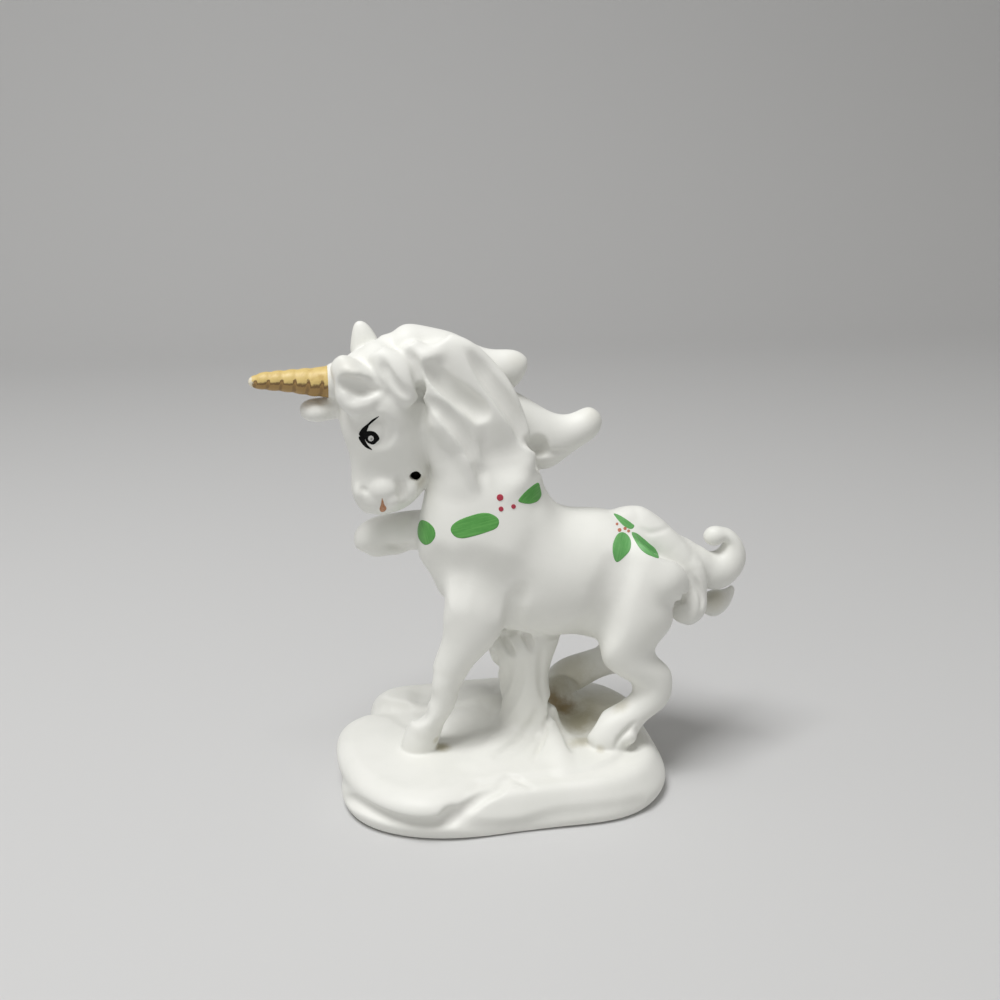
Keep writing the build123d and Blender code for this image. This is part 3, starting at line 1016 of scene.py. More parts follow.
@dataclass(frozen=True)
class Gold:
    """Gold enamel on the horn, brushed on, with a painted brown shade below, and worn to white at the tip.

    Args:
        light: The gold where it lies thin.
        warm: The gold where it lies thick.
        underside_shade: The painted shade on the underside, a browner gold.
        rim_line_and_hollow_shade: The dark line at the rim of the painted shade, and the painted shade in
            the hollows below.
        bare: The porcelain where it is worn off.
        patch: The pattern in which it lies thick and thin.
        warm_span: The pattern's values at which it starts to be thick and is so.
        warm_share: How much of the warm gold shows there.
        wander: How far the patches push the spiral, in radians.
        hollow_span: The height of the wave round the spiral at which a hollow starts and is whole.
        under_span: The upward slope at which the underside starts and is whole.
        rim: How far below the middle the painted shade's rim lies, as a slope.
        scallop: How far a hollow lifts the rim.
        rag: How uneven the rim is.
        rim_span: How soft it is.
        line: Half the dark line's width.
        underside_shade_share: How much of the painted shade shows.
        line_share: How much of the dark line shows.
        hollow_share: How much of the painted shade in the hollows shows.
        worn: How far from the tip it is worn, in millimetres.
        wear_rag: How uneven the worn edge is.
        wear_span: The shares of that way at which the wear starts and is whole.
        relief: The enamel's own unevenness.
        rough: Its least roughness.
        rough_swing: How much rougher it gets.
    """

    light: Colour = (0.68, 0.51, 0.19)
    warm: Colour = (0.47, 0.30, 0.085)
    underside_shade: Colour = (0.32, 0.175, 0.05)
    rim_line_and_hollow_shade: Colour = (0.12, 0.06, 0.018)
    bare: Colour = (0.80, 0.75, 0.60)
    patch: Grain = Grain(1.6, 5.0, 0.7)
    warm_span: tuple[float, float] = (0.45, 0.75)
    warm_share: float = 0.6
    wander: float = 2.6
    hollow_span: tuple[float, float] = (0.35, 1.0)
    under_span: tuple[float, float] = (0.4, -0.6)
    rim: float = 0.12
    scallop: float = 0.35
    rag: float = 0.6
    rim_span: tuple[float, float] = (0.06, -0.06)
    line: float = 0.16
    underside_shade_share: float = 0.8
    line_share: float = 0.8
    hollow_share: float = 0.45
    worn: float = 1.5
    wear_rag: float = 1.6
    wear_span: tuple[float, float] = (1.15, 0.8)
    relief: Relief = Relief(Grain(0.5, 4.0, 0.6), 0.03, 0.5)
    rough: float = 0.34
    rough_swing: float = 0.25

    def make(self, horn: "Horn") -> bpy.types.Material:
        """Mixes the material.

        Args:
            horn: The horn, whose spiral the painted shade follows.

        Returns:
            The material.
        """
        material = bpy.data.materials.new("gold_enamel")
        shop = Shop(material)
        patch = shop.noise(self.patch)
        uneven = patch - 0.5
        middle, root, length, _ = horn.measure()
        x, y, z = (shop.part(shop.place(), axis) / MM for axis in "XYZ")
        round_axis = (z - middle[2]).math("ARCTAN2", y - middle[1])
        coil = (root - x) / length * (horn.turns * math.tau) - round_axis + uneven * self.wander
        hollow = coil.math("COSINE").steps(*self.hollow_span)
        # Painted shade: the horn darkens where its surface faces down, with a dark line at the rim and
        # darker hollows below.
        upward = shop.part(shop.node("ShaderNodeNewGeometry", output="Normal"), "Z")
        edge = upward - hollow * self.scallop + uneven * self.rag + self.rim
        off_line = edge / self.line
        dark = (1.0 - off_line * off_line).highest(0.0) * self.line_share
        dark = dark + hollow * upward.steps(*self.under_span) * self.hollow_share
        colour = shop.mix(patch.steps(*self.warm_span) * self.warm_share, self.light, self.warm)
        colour = shop.mix(edge.steps(*self.rim_span) * self.underside_shade_share, colour, self.underside_shade)
        colour = shop.mix(dark.lowest(1.0), colour, self.rim_line_and_hollow_shade)
        tip = (root - length, middle[1], middle[2])
        wear = (shop.gap(tip) / self.worn + uneven * self.wear_rag).steps(*self.wear_span)
        colour = shop.mix(wear, colour, self.bare)
        normal = shop.bump(shop.noise(self.relief.grain), self.relief)
        shop.finish(colour, patch * self.rough_swing + self.rough, normal)
        return material


@dataclass(frozen=True)
class Enamel:
    """Brushed-on enamel of one colour, with streaks along the brush's way.

    Args:
        name: The material's name.
        full: The colour where it lies thick.
        thin: The colour where the brush ran dry.
        rough: Its usual roughness.
        streak: How much the streaks show.
        shine: How strongly it reflects.
        brush: How often the streaks' pattern repeats along and across the stroke.
        streak_span: The pattern's values at which a streak starts and is whole.
        pool: The pattern in which the enamel pools.
        pool_share: How much the pools show.
        ridge: The streaks' pattern, with its size as a share of the stroke, and how they stand up.
        rough_swing: How much the roughness changes.
    """

    name: str
    full: Colour
    thin: Colour
    rough: float
    streak: float = 0.7
    shine: float = 0.45
    brush: tuple[float, float, float] = (1.2, 9.0, 1.0)
    streak_span: tuple[float, float] = (0.35, 0.7)
    pool: Grain = Grain(1.1, 4.0, 0.6)
    pool_share: float = 0.6
    ridge: Relief = Relief(Grain(1.0, 4.0, 0.6), 0.02, 0.6)
    rough_swing: float = 0.2

    def make(self) -> bpy.types.Material:
        """Mixes the material.

        Returns:
            The material.
        """
        material = bpy.data.materials.new(self.name)
        shop = Shop(material)
        laid = shop.node("ShaderNodeUVMap", {"uv_map": "brush"})
        grain = self.ridge.grain
        inputs = {"Scale": 1 / grain.size, "Detail": grain.detail, "Roughness": grain.rough}
        inputs["Vector"] = shop.node("ShaderNodeMapping", {}, {"Vector": laid, "Scale": self.brush})
        streaks = shop.node("ShaderNodeTexNoise", {}, inputs, "Fac").steps(*self.streak_span)
        pool = shop.noise(self.pool)
        share = streaks * self.streak + (pool - 0.5) * self.pool_share
        colour = shop.mix(share.highest(0.0).lowest(1.0), self.full, self.thin)
        rough = (pool - 0.5) * self.rough_swing + self.rough
        shop.finish(colour, rough, shop.bump(streaks, self.ridge), self.shine)
        return material


def build_mesh(name: str, points: np.ndarray, faces: np.ndarray) -> bpy.types.Object:
    """Makes a smooth mesh object in metres.

    Args:
        name: Its name.
        points: Its points, in millimetres.
        faces: Rows of four point numbers.

    Returns:
        The object.
    """
    mesh = bpy.data.meshes.new(name)
    mesh.vertices.add(len(points))
    mesh.vertices.foreach_set("co", (points * MM).astype(np.float32).ravel())
    mesh.loops.add(faces.size)
    mesh.loops.foreach_set("vertex_index", faces.astype(np.int32).ravel())
    mesh.polygons.add(len(faces))
    mesh.polygons.foreach_set("loop_start", np.arange(0, faces.size, 4, dtype=np.int32))
    mesh.polygons.foreach_set("use_smooth", np.ones(len(faces), bool))
    mesh.update(calc_edges=True)
    return put(name, mesh)


class Kiln:
    """Takes each casting out of the clay as a closed mesh, and dresses it."""

    overlap = 0.9  # How far a casting reaches under its neighbour.
    sink = 0.3  # How deep it lies there.
    crease_rounds = 8  # How broadly the skin is rubbed to find its creases.
    ease = (0.5, -0.52)  # A relaxing step in, and the step back out.

    def __init__(self, clay: Clay, cad: Frame, whole: np.ndarray) -> None:
        """Fires the clay.

        Args:
            clay: The finished figurine.
            cad: The solids that say which casting each part belongs to.
            whole: The clay's distances before the vent was drilled.
        """
        self.clay = clay
        self.cad = cad
        self.pierced = -whole
        self.owner, self.nearest, self.second = cad.owners()
        broad = rub(clay.skin, self.crease_rounds)
        self.crease = (clay.skin - broad) / np.float32(clay.pitch)

    def cast(self, name: str) -> bpy.types.Object:
        """Cuts out one casting, sunk a little under its neighbours where they overlap.

        Args:
            name: The CAD node that it stands for.

        Returns:
            Its mesh object.
        """
        number = list(self.cad.blocks).index(name)
        block = self.cad.blocks[name]
        own = self.cad.fields[name]
        other = np.where(self.owner[block] == number, self.second[block], self.nearest[block])
        beyond = (own - other) / 2
        under = np.clip(beyond / self.overlap, 0, 1) ** 2 * self.sink
        form = np.maximum(self.clay.skin[block] + under, beyond - self.overlap)
        edge = np.full([size + 2 for size in form.shape], self.clay.far, np.float32)
        edge[1:-1, 1:-1, 1:-1] = form
        grid = vdb.FloatGrid(self.clay.far)
        grid.transform = vdb.createLinearTransform(1.0)
        grid.copyFromArray(edge, ijk=(0, 0, 0), tolerance=0)
        points, faces = grid.convertToQuads(isovalue=0)
        corner = np.array([part.start - 1 for part in block])
        points = self.clay.low + (points + corner) * self.clay.pitch
        points = self.relax(points, faces)
        piece = build_mesh(f"porcelain_{name}", points, faces[:, ::-1])
        for title, values in (("crease", self.crease), ("depth", self.pierced)):
            share = self.clay.sample(points, values).astype(np.float32)
            piece.data.attributes.new(title, "FLOAT", "POINT").data.foreach_set("value", share)
        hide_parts(name)
        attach(piece, "root")
        log.info("%s: %d points", piece.name, len(points))
        return piece

    def relax(self, points: np.ndarray, faces: np.ndarray, rounds: int = 4) -> np.ndarray:
        """Takes the grid's stair marks off a mesh without shrinking it.

        Args:
            points: Its points.
            faces: Its faces.
            rounds: How often to move them in and out again.

        Returns:
            The moved points.
        """
        ends = np.concatenate([faces[:, [a, (a + 1) % 4]] for a in range(4)])
        ends = np.concatenate([ends, ends[:, ::-1]])
        count = np.maximum(np.bincount(ends[:, 0], minlength=len(points)), 1)
        for step in self.ease * rounds:
            mean = np.stack([
                np.bincount(ends[:, 0], points[ends[:, 1], axis], len(points)) / count for axis in range(3)
            ], axis=1)
            points = points + (mean - points) * step
        return points


@dataclass
class Casting:
    """A sub-assembly: castings that belong together, and the marks of the tools on them.

    Every field of its kinds that isn't described is one mark, and its name says what the mark makes.

    Args:
        nodes: The CAD nodes that it stands for.
    """

    nodes: tuple[str, ...] = ()

    def shape(self, hand: Hand) -> None:
        """Models its details."""

    def dress(self, kiln: Kiln, finish: bpy.types.Material, slot: str) -> None:
        """Casts its pieces and gives them their finish.

        Args:
            kiln: Where they are cast.
            finish: Their material.
            slot: The record's slot for it. Not used.
        """
        for node in self.nodes:
            piece = kiln.cast(node)
            piece.data.materials.append(finish)


@dataclass
class Head(Casting):
    """The head: cheek, jaw, muzzle, eyeballs and ears."""

    nodes: tuple[str, ...] = ("head", "near_ear", "far_ear", "forelock", "horn_collar")
    throat_web: Stroke = Stroke(((438, 412), (438, 432), (438, 452), (438, 472)), 2.8, 1.5, Touch.ADD, 0.8)
    muzzle_waist: Stroke = Stroke(((372, 476), (384, 474), (398, 477)), 4.0, 0.35, soft=2.0, both=True)
    upper_lip: Dab = Dab((384, 489), (2.7, 2.3, 1.8), 0.75, soft=0.8, both=True)
    nostril: Dab = Dab((358, 492), (1.3, 1.8, 1.2), 0.6, soft=0.7, both=True)
    nostril_pit: Dab = Dab((364, 490), (0.6, 1.0, 0.6), -0.1, Touch.CARVE, 0.5, 50.0, True)
    mouth: Stroke = Stroke(
        ((383, 498), (384, 503), (383.5, 508), (381, 513)), 0.5, 0.45, soft=0.4, both=True
    )
    lower_lip: Stroke = Stroke(((367, 508), (374, 511), (382, 511)), 0.5, 0.3, soft=0.4, both=True)
    chin: Dab = Dab((394, 501), (1.9, 1.5, 1.4), 0.6, soft=0.6, both=True)
    chin_back: Stroke = Stroke(((399, 478), (402, 489), (402, 500)), 1.0, 0.75, soft=0.7, both=True)
    jaw_lump: Dab = Dab((412, 491), (1.7, 2.4, 1.7), 0.75, soft=0.5, both=True)
    socket: Dab = Dab((374, 432), (3.8, 3.9, 1.5), -0.35, Touch.CARVE, 0.7, both=True)
    eyeball: Dab = Dab((374, 431.5), (2.7, 3.0, 1.9), 0.85, soft=0.25, both=True)
    upper_lid: Stroke = Stroke(
        ((360, 434), (365, 424), (372, 416.5), (381, 413), (389, 418), (393, 428)),
        0.8, 0.4, Touch.ADD, 0.6, True,
    )
    brow: Stroke = Stroke(((366, 414), (378, 406), (391, 409), (399, 419)), 2.6, 0.5, Touch.ADD, 2.0, True)
    ear_dome: Stroke = Stroke(((349, 364), (357, 366), (367, 372), (379, 381)), 2.8, 0.7, Touch.ADD, 1.6)
    ear_hollow: Dab = Dab((359, 387), (4.9, 2.3, 1.8), 0.15, Touch.CARVE, 0.35, -14.0)
    ear_edge: Stroke = Stroke(
        ((342, 369), (351, 371), (362, 377), (373, 384), (385, 388)), 0.8, 0.4, Touch.ADD, 0.4
    )
    ear_lower_rim: Stroke = Stroke(
        ((342, 398), (351, 405), (363, 405), (376, 398), (385, 391)), 1.2, 0.25, Touch.ADD
    )
    tuft_tip: Dab = Dab((317, 414), (2.6, 2.0, 2.0), 1.0, soft=0.7)
    orbit: Stroke = Stroke(
        ((375, 413), (385, 416), (392, 425), (392, 437), (385, 446)), 1.0, 0.4, soft=0.5, both=True
    )
    vent_lip: Dab = Dab((416, 474), (2.2, 2.2, 2.0), 1.75, soft=0.6)
    vent: Bore = Bore((416, 474), 1.15, 3.4)

    def shape(self, hand: Hand) -> None:
        """Models the face, then the near ear."""
        hand.work((
            self.throat_web, self.muzzle_waist, self.brow, self.upper_lip, self.nostril, self.chin,
            self.jaw_lump, self.chin_back, self.mouth, self.lower_lip, self.nostril_pit, self.socket,
            self.eyeball, self.orbit, self.upper_lid, self.vent_lip, self.tuft_tip, self.ear_dome,
            self.ear_hollow, self.ear_edge, self.ear_lower_rim,
        ))


@dataclass
class Mane(Casting):
    """The mane: five lying locks and two flying ones, combed with a round tool."""

    nodes: tuple[str, ...] = (
        "crest_lock", "mane_front_lock", "mane_rear_lock", "far_mane_lock", "upper_flying_lock",
        "lower_flying_lock",
    )
    web: Stroke = Stroke(((489, 430), (500, 448), (510, 466), (518, 482)), 4.0, 1.2, Touch.ADD, 3.0)
    rear_end: Stroke = Stroke(((518, 458), (529, 472), (538, 486)), 3.0, 1.0, Touch.ADD, 3.0)
    crest_fill: Stroke = Stroke(((374, 349), (384, 343), (396, 338)), 2.4, 0.9, Touch.ADD, 2.5)
    crest_dome: Dab = Dab((431, 347), (3.8, 2.4, 1.6), 1.35, soft=2.0, turn=15.0)
    corner_fill: Dab = Dab((421, 398), (2.0, 3.2, 1.8), 0.8, soft=1.0)
    strand_step: Stroke = Stroke(
        ((481, 356), (495, 374), (508, 397), (518, 417), (526, 436)), 3.5, 0.7, soft=1.5, fade=(0.2, 0.2)
    )
    ear_groove: Stroke = Stroke(
        ((382, 360), (386, 370), (393, 381), (402, 391), (412, 398)), 1.2, 0.9, soft=0.5
    )
    crest_groove: Stroke = Stroke(((409, 352), (415, 363), (418, 379), (419, 399)), 1.1, 0.7, soft=0.6)
    front_hollow: Stroke = Stroke(
        ((425, 366), (440, 378), (453, 390), (467, 402), (479, 412), (486, 418)),
        2.4, 2.0, soft=0.3, fade=(0.25, 0.5),
    )
    neck_fill: Stroke = Stroke(((430, 424), (443, 440), (453, 458), (459, 476)), 5.0, 0.5, Touch.ADD, 3.0)
    front_edge: Stroke = Stroke(
        ((428, 399), (442, 411), (455, 424), (466, 439), (475, 456), (481, 473), (483, 488)),
        2.0, 1.2, soft=0.3, both=True, fade=(0.25, 0.4),
    )
    front_vale: Stroke = Stroke(((462, 418), (476, 434), (487, 452), (493, 472)), 6.0, 0.9, soft=2.5)
    rear_valley: Stroke = Stroke(
        ((466, 349), (479, 366), (491, 383), (504, 400), (517, 419), (528, 438), (537, 454)),
        2.2, 1.4, soft=0.35, both=True, fade=(0.3, 0.2),
    )
    lower_comb: Stroke = Stroke(((524, 441), (535, 449), (550, 453), (566, 451)), 1.1, 0.6, soft=0.5)

    def shape(self, hand: Hand) -> None:
        """Combs the near side."""
        hand.work((
            self.crest_fill, self.crest_dome, self.web, self.rear_end, self.neck_fill, self.strand_step,
            self.ear_groove, self.crest_groove, self.corner_fill, self.front_vale, self.front_hollow,
            self.front_edge, self.rear_valley, self.lower_comb,
        ))


@dataclass
class Torso(Casting):
    """The trunk and the neck, with the shoulder and the flank worked in."""

    nodes: tuple[str, ...] = ("body",)
    under_chest: Stroke = Stroke(
        ((428, 578), (452, 584), (478, 578), (505, 586)), 7.0, 0.9, soft=3.0, both=True
    )
    elbow: Stroke = Stroke(((521, 590), (514, 608), (507, 625)), 2.2, 0.8, soft=1.2, both=True)
    flank: Stroke = Stroke(((616, 568), (605, 597), (597, 622), (592, 642)), 4.0, 0.45, soft=2.5, both=True)

    def shape(self, hand: Hand) -> None:
        """Models the trunk."""
        hand.work((self.under_chest, self.elbow, self.flank))


@dataclass
class Legs(Casting):
    """Three standing legs and the raised one, with their hooves."""

    nodes: tuple[str, ...] = ("near_foreleg", "raised_foreleg", "near_hind_leg", "far_hind_leg")
    heel: Dab = Dab((631, 738), (1.9, 1.9, 1.6), 0.7, soft=0.4)
    heel_cleft: Stroke = Stroke(((636, 722), (627, 731), (619, 740), (616, 748)), 0.7, 0.7, soft=0.4)
    fetlock: Stroke = Stroke(((430, 683), (425, 691), (424, 699), (425, 706)), 4.0, 1.2, soft=1.5)
    pastern: Stroke = Stroke(((444, 688), (438, 700), (431, 713), (421, 729)), 2.6, 0.3, Touch.ADD, 1.2)
    fold_groove: Stroke = Stroke(((387, 544), (402, 548), (418, 552)), 1.0, 0.8, soft=0.5)

    def shape(self, hand: Hand) -> None:
        """Models the hooves and the fold of the raised leg."""
        hand.work((self.heel, self.heel_cleft, self.fetlock, self.pastern, self.fold_groove))


@dataclass
class Ground(Casting):
    """The rocky base and the tree stump, with its folds and roots."""

    nodes: tuple[str, ...] = ("base", "tree_stump")
    near_root: Stroke = Stroke(((548, 700), (551, 722), (556, 745), (562, 766)), 3.0, 1.5, Touch.ADD, 1.6)
    middle_root: Stroke = Stroke(((526, 700), (518, 724), (498, 748), (476, 762)), 4.0, 1.2, Touch.ADD, 2.5)
    left_root: Stroke = Stroke(((500, 690), (478, 710), (450, 722)), 5.0, 1.0, Touch.ADD, 3.0)
    root_edge: Stroke = Stroke(
        ((550, 690), (552, 704), (560, 721), (568, 736), (573, 752)), 1.3, 1.3, soft=0.5, fade=(0.2, 0.2)
    )
    root_crease: Stroke = Stroke(((550, 708), (546, 725), (541, 743), (532, 762)), 0.8, 0.6, soft=0.4)
    middle_crease: Stroke = Stroke(((537, 712), (528, 728), (512, 745), (496, 756)), 1.2, 0.5, soft=0.8)
    folds: tuple[Stroke, ...] = (
        Stroke(((501, 634), (507, 645), (514, 657)), 0.9, 1.3, soft=0.25, fade=(0.15, 0.4)),
        Stroke(((509, 630), (519, 632), (528, 640), (533, 653)), 1.0, 1.4, soft=0.25, fade=(0.15, 0.4)),
        Stroke(((492, 648), (496, 664), (497, 684)), 1.0, 0.8, soft=0.4),
        Stroke(((524, 662), (519, 686), (506, 712)), 1.4, 0.6, soft=0.6),
        Stroke(((542, 650), (541, 676), (545, 702)), 1.3, 0.6, soft=0.6),
        Stroke(((509, 660), (506, 682), (494, 712)), 1.3, 0.6, soft=0.6),
    )
    belly_line: Stroke = Stroke(((512, 627), (528, 630), (545, 635), (560, 636)), 0.7, 0.5, soft=0.4)
    pit: Stroke = Stroke(((562, 706), (574, 720), (583, 736)), 4.0, 1.2, soft=1.5)
    terrace_rim: Stroke = Stroke(
        ((344, 797), (356, 803), (376, 812), (402, 820), (430, 823), (452, 819), (468, 808), (484, 796),
         (499, 789), (508, 776)),
        1.5, 1.1, soft=0.7, fade=(0.1, 0.25),
    )
    terrace_facet: Stroke = Stroke(((507, 776), (518, 780), (532, 788)), 0.9, 0.45)
    shoulder_line: Stroke = Stroke(
        ((455, 822), (485, 828), (520, 826), (560, 816), (640, 803)), 2.2, 0.3, soft=1.5
    )
    bank_foot: Stroke = Stroke(((371, 712), (398, 712), (424, 716)), 2.2, 0.5, soft=1.5)

    def shape(self, hand: Hand) -> None:
        """Models the roots, the folds and the rock."""
        hand.work((
            self.left_root, self.middle_root, self.pit, self.near_root, self.root_edge, self.root_crease,
            self.middle_crease, *self.folds, self.belly_line, self.terrace_rim, self.terrace_facet,
            self.shoulder_line, self.bank_foot,
        ))
        hand.clay.level()


@dataclass
class Tail(Casting):
    """The tail: a plume with a curled tip, and two locks under it."""

    nodes: tuple[str, ...] = ("tail_plume", "tail_under_lock", "tail_side_lock")
    root_fill: Stroke = Stroke(
        ((646, 538), (660, 550), (674, 562), (686, 572)), 3.0, 1.1, Touch.ADD, 2.5, True
    )
    croup: Stroke = Stroke(((622, 513), (632, 509), (644, 511)), 3.0, 0.7, Touch.ADD, 1.5)
    root_line: Stroke = Stroke(((641, 529), (650, 533), (660, 531), (669, 528)), 0.8, 0.25, soft=0.5)
    under_fill: Dab = Dab((714, 601), (3.6, 2.4, 2.6), 1.3, soft=1.2, turn=20.0)
    curl_tip: Dab = Dab((714, 538), (2.3, 2.2, 2.0), 1.3, soft=1.0)
    curl_gap: Stroke = Stroke(((706, 549), (712, 550), (718, 551)), 0.6, 0.6, soft=0.3)
    haunch_web: Stroke = Stroke(
        ((671, 560), (675, 571), (675, 583), (671, 595)), 4.0, 1.1, Touch.ADD, 2.5, True
    )
    side_top: Stroke = Stroke(((684, 560), (689, 569), (693, 580)), 2.4, 0.8, Touch.ADD, 2.0)
    side_lobe: Dab = Dab((682, 613), (3.1, 2.7, 1.7), 0.9, soft=0.8)
    side_edge: Stroke = Stroke(((691, 574), (698, 587), (702, 600), (701, 611)), 0.7, 0.6, soft=0.35)
    side_notch: Stroke = Stroke(((689, 583), (685, 595), (680, 601), (673, 598)), 0.8, 0.7, soft=0.3)

    def shape(self, hand: Hand) -> None:
        """Joins the tail to the croup and the haunch, and parts its locks."""
        hand.work((
            self.croup, self.root_fill, self.root_line, self.curl_tip, self.curl_gap, self.under_fill,
            self.haunch_web, self.side_top, self.side_lobe, self.side_edge, self.side_notch,
        ))


@dataclass
class Horn(Casting):
    """The horn, with a shallow spiral wound round it.

    Args:
        turns: How often the spiral would go round over the whole length.
        thread: The radius of the tool that winds it.
        bite: How deep the tool goes.
        soft: How far the groove's edges are rounded.
        stretch: The shares of the length between which the spiral runs.
        taper: How much of its thickness the horn has lost at the tip.
        points: How many points the spiral has.
    """

    nodes: tuple[str, ...] = ("horn",)
    turns: float = 6.0
    thread: float = 0.6
    bite: float = 0.13
    soft: float = 0.3
    stretch: tuple[float, float] = (0.07, 0.92)
    taper: float = 0.75
    points: int = 90

    def measure(self) -> tuple[np.ndarray, float, float, float]:
        """Measures the horn's box, in millimetres.

        Returns:
            Its middle, its root's place along x, its length and half its height.
        """
        low, high = (np.array(corner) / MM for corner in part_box("horn"))
        middle = (low + high) / 2
        return middle, float(high[0]), float(high[0] - low[0]), float(high[2] - middle[2])

    def shape(self, hand: Hand) -> None:
        """Winds the spiral groove from the root to the tip."""
        middle, root, length, half = self.measure()
        share = np.linspace(*self.stretch, self.points)
        angle = share * self.turns * math.tau
        radius = half * (1 - share * self.taper)
        guess = np.stack([
            root - share * length, middle[1] + radius * np.cos(angle), middle[2] + radius * np.sin(angle)
        ], axis=1)
        track = hand.clay.settle(guess)
        depth = self.thread - self.bite
        hand.sweep(track + hand.clay.slope(track) * depth, self.thread, Touch.CARVE, self.soft)


@dataclass(frozen=True)
class Patch:
    """A dab of enamel: a thin closed skin over the porcelain, seen as an outline in the photograph.

    Args:
        name: The piece's name.
        outline: The pixels round it.
        finish: Which enamel it is.
        thick: How thick it lies, in millimetres.
        both: True for the same dab on the far side too.
        rings: The shares of the way out from its middle at which its face has points.
        sunk: How deep its underside lies in the porcelain.
    """

    name: str
    outline: Path
    finish: "Pot"
    thick: float = 0.05
    both: bool = False
    rings: tuple[float, ...] = (1.0, 0.97, 0.9, 0.8, 0.7, 0.6, 0.5, 0.4, 0.3, 0.2, 0.1)
    sunk: float = 0.3

    def edge(self, count: int = 48) -> np.ndarray:
        """The outline as a smooth closed curve.

        Args:
            count: How many points to give it.

        Returns:
            One row of pixels for each point.
        """
        knots = np.array(self.outline, float)
        at = np.arange(count) / count * len(knots)
        whole = at.astype(int)
        share = (at - whole)[:, None]
        a, b, c, d = (knots[(whole + step) % len(knots)] for step in (-1, 0, 1, 2))
        return curve(a, b, c, d, share)

    def brush(self, pixels: np.ndarray) -> np.ndarray:
        """Where each point lies along and across the brush stroke, from 0 to 1."""
        from_middle = pixels - pixels.mean(axis=0)
        ways = np.linalg.svd(from_middle, full_matrices=False)[2]
        laid = from_middle @ ways.T
        return (laid - laid.min(axis=0)) / np.ptp(laid, axis=0)

    def lay(self, hand: Hand, finishes: "dict[Pot, bpy.types.Material]") -> None:
        """Lays the enamel on the porcelain.

        Args:
            hand: What finds the skin under it.
            finishes: The enamels.
        """
        edge = self.edge()
        middle = edge.mean(axis=0)
        rings = [middle + (edge - middle) * share for share in self.rings]
        pixels = np.concatenate([*rings, middle[None]])
        for mirrored in sides_of(self.both):
            skin = hand.touch([tuple(pixel) for pixel in pixels], mirrored)
            name = f"far_{self.name}" if mirrored else self.name
            self.build(hand, skin, pixels, finishes[self.finish], name)

    def build(
        self, hand: Hand, skin: np.ndarray, pixels: np.ndarray, finish: bpy.types.Material, name: str
    ) -> None:
        """Makes the closed mesh between the skin and the enamel's face.

        Args:
            hand: What knows the skin.
            skin: The points under it, ring by ring and then the middle.
            pixels: The same points in the photograph.
            finish: Its material.
            name: Its name.
        """
        count = len(self.edge())
        rise = np.full(len(skin), self.thick)
        rise[:count] = -self.thick
        normals = hand.clay.slope(skin)
        top = skin + normals * rise[:, None]
        bottom = skin - normals * self.sunk
        size = len(skin)
        faces = []
        for n in range(count):
            after = (n + 1) % count
            for ring in range(len(self.rings) - 1):
                a, b = ring * count, (ring + 1) * count
                faces.append((a + n, a + after, b + after, b + n))
                faces.append((size + a + after, size + a + n, size + b + n, size + b + after))
            last = (len(self.rings) - 1) * count
            faces.append((last + n, last + after, size - 1))
            faces.append((size + last + after, size + last + n, 2 * size - 1))
            faces.append((after, n, size + n, size + after))
        mesh = bpy.data.meshes.new(name)
        mesh.from_pydata((np.concatenate([top, bottom]) * MM).tolist(), [], faces)
        mesh.polygons.foreach_set("use_smooth", [True] * len(faces))
        brush = self.brush(pixels)
        layer = mesh.uv_layers.new(name="brush")
        corners = np.empty(len(mesh.loops), np.int32)
        mesh.loops.foreach_get("vertex_index", corners)
        layer.data.foreach_set("uv", brush[corners % size].astype(np.float32).ravel())
        mesh.update()
        mesh.materials.append(finish)
        self.outward(mesh)
        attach(put(name, mesh), "root")
        log.info("%s: enamel laid", name)

    def outward(self, mesh: bpy.types.Mesh) -> None:
        """Turns the faces outward."""
        form = bmesh.new()
        form.from_mesh(mesh)
        bmesh.ops.recalc_face_normals(form, faces=form.faces)
        form.to_mesh(mesh)
        form.free()


class Pot(Enum):
    """The pots of enamel on the painter's bench."""

    LEAF = Enamel("leaf_green", (0.075, 0.30, 0.055), (0.145, 0.43, 0.10), 0.45)
    CROUP_LEAF = Enamel("croup_leaf_green", (0.095, 0.33, 0.085), (0.18, 0.46, 0.155), 0.45)
    BERRY = Enamel("berry_red", (0.38, 0.022, 0.050), (0.50, 0.06, 0.09), 0.4)
    CROUP_BERRY = Enamel("croup_berry_red", (0.48, 0.13, 0.075), (0.62, 0.30, 0.20), 0.45)
    BLACK = Enamel("eye_black", (0.002, 0.002, 0.002), (0.004, 0.004, 0.004), 0.5, 0.3, 0.08)
    # A painted highlight on each eye: the light glint, with a grey spot in its middle.
    GLINT = Enamel("eye_glint", (0.62, 0.62, 0.60), (0.70, 0.70, 0.68), 0.3, 0.3)
    MOUTH = Enamel("mouth_umber", (0.44, 0.19, 0.085), (0.62, 0.38, 0.25), 0.5)
    # The grey middle of the painted highlight on the eye.
    GLINT_MIDDLE = Enamel("eye_glint_middle", (0.30, 0.30, 0.29), (0.36, 0.36, 0.35), 0.3, 0.3)


def disc(middle: Pixel, radius: float) -> Path:
    """Pixels round a spot.

    Args:
        middle: Its middle.
        radius: Its radius in pixels.

    Returns:
        The outline.
    """
    angles = (math.tau * n / DISC_POINTS for n in range(DISC_POINTS))
    return tuple((middle[0] + radius * math.cos(a), middle[1] + radius * math.sin(a)) for a in angles)


def stripe(path: tuple[tuple[float, float, float], ...]) -> Path:
    """The outline of a brush stroke.

    Args:
        path: Pixels, each with half the stroke's width there.

    Returns:
        The pixels up one side and down the other.
    """
    knots = np.array(path, float)
    way = np.gradient(knots[:, :2], axis=0)
    way /= np.linalg.norm(way, axis=1, keepdims=True)
    aside = np.stack([way[:, 1], -way[:, 0]], axis=1) * knots[:, 2:]
    sides = np.concatenate([knots[:, :2] + aside, (knots[:, :2] - aside)[::-1]])
    return tuple((float(x), float(y)) for x, y in sides)


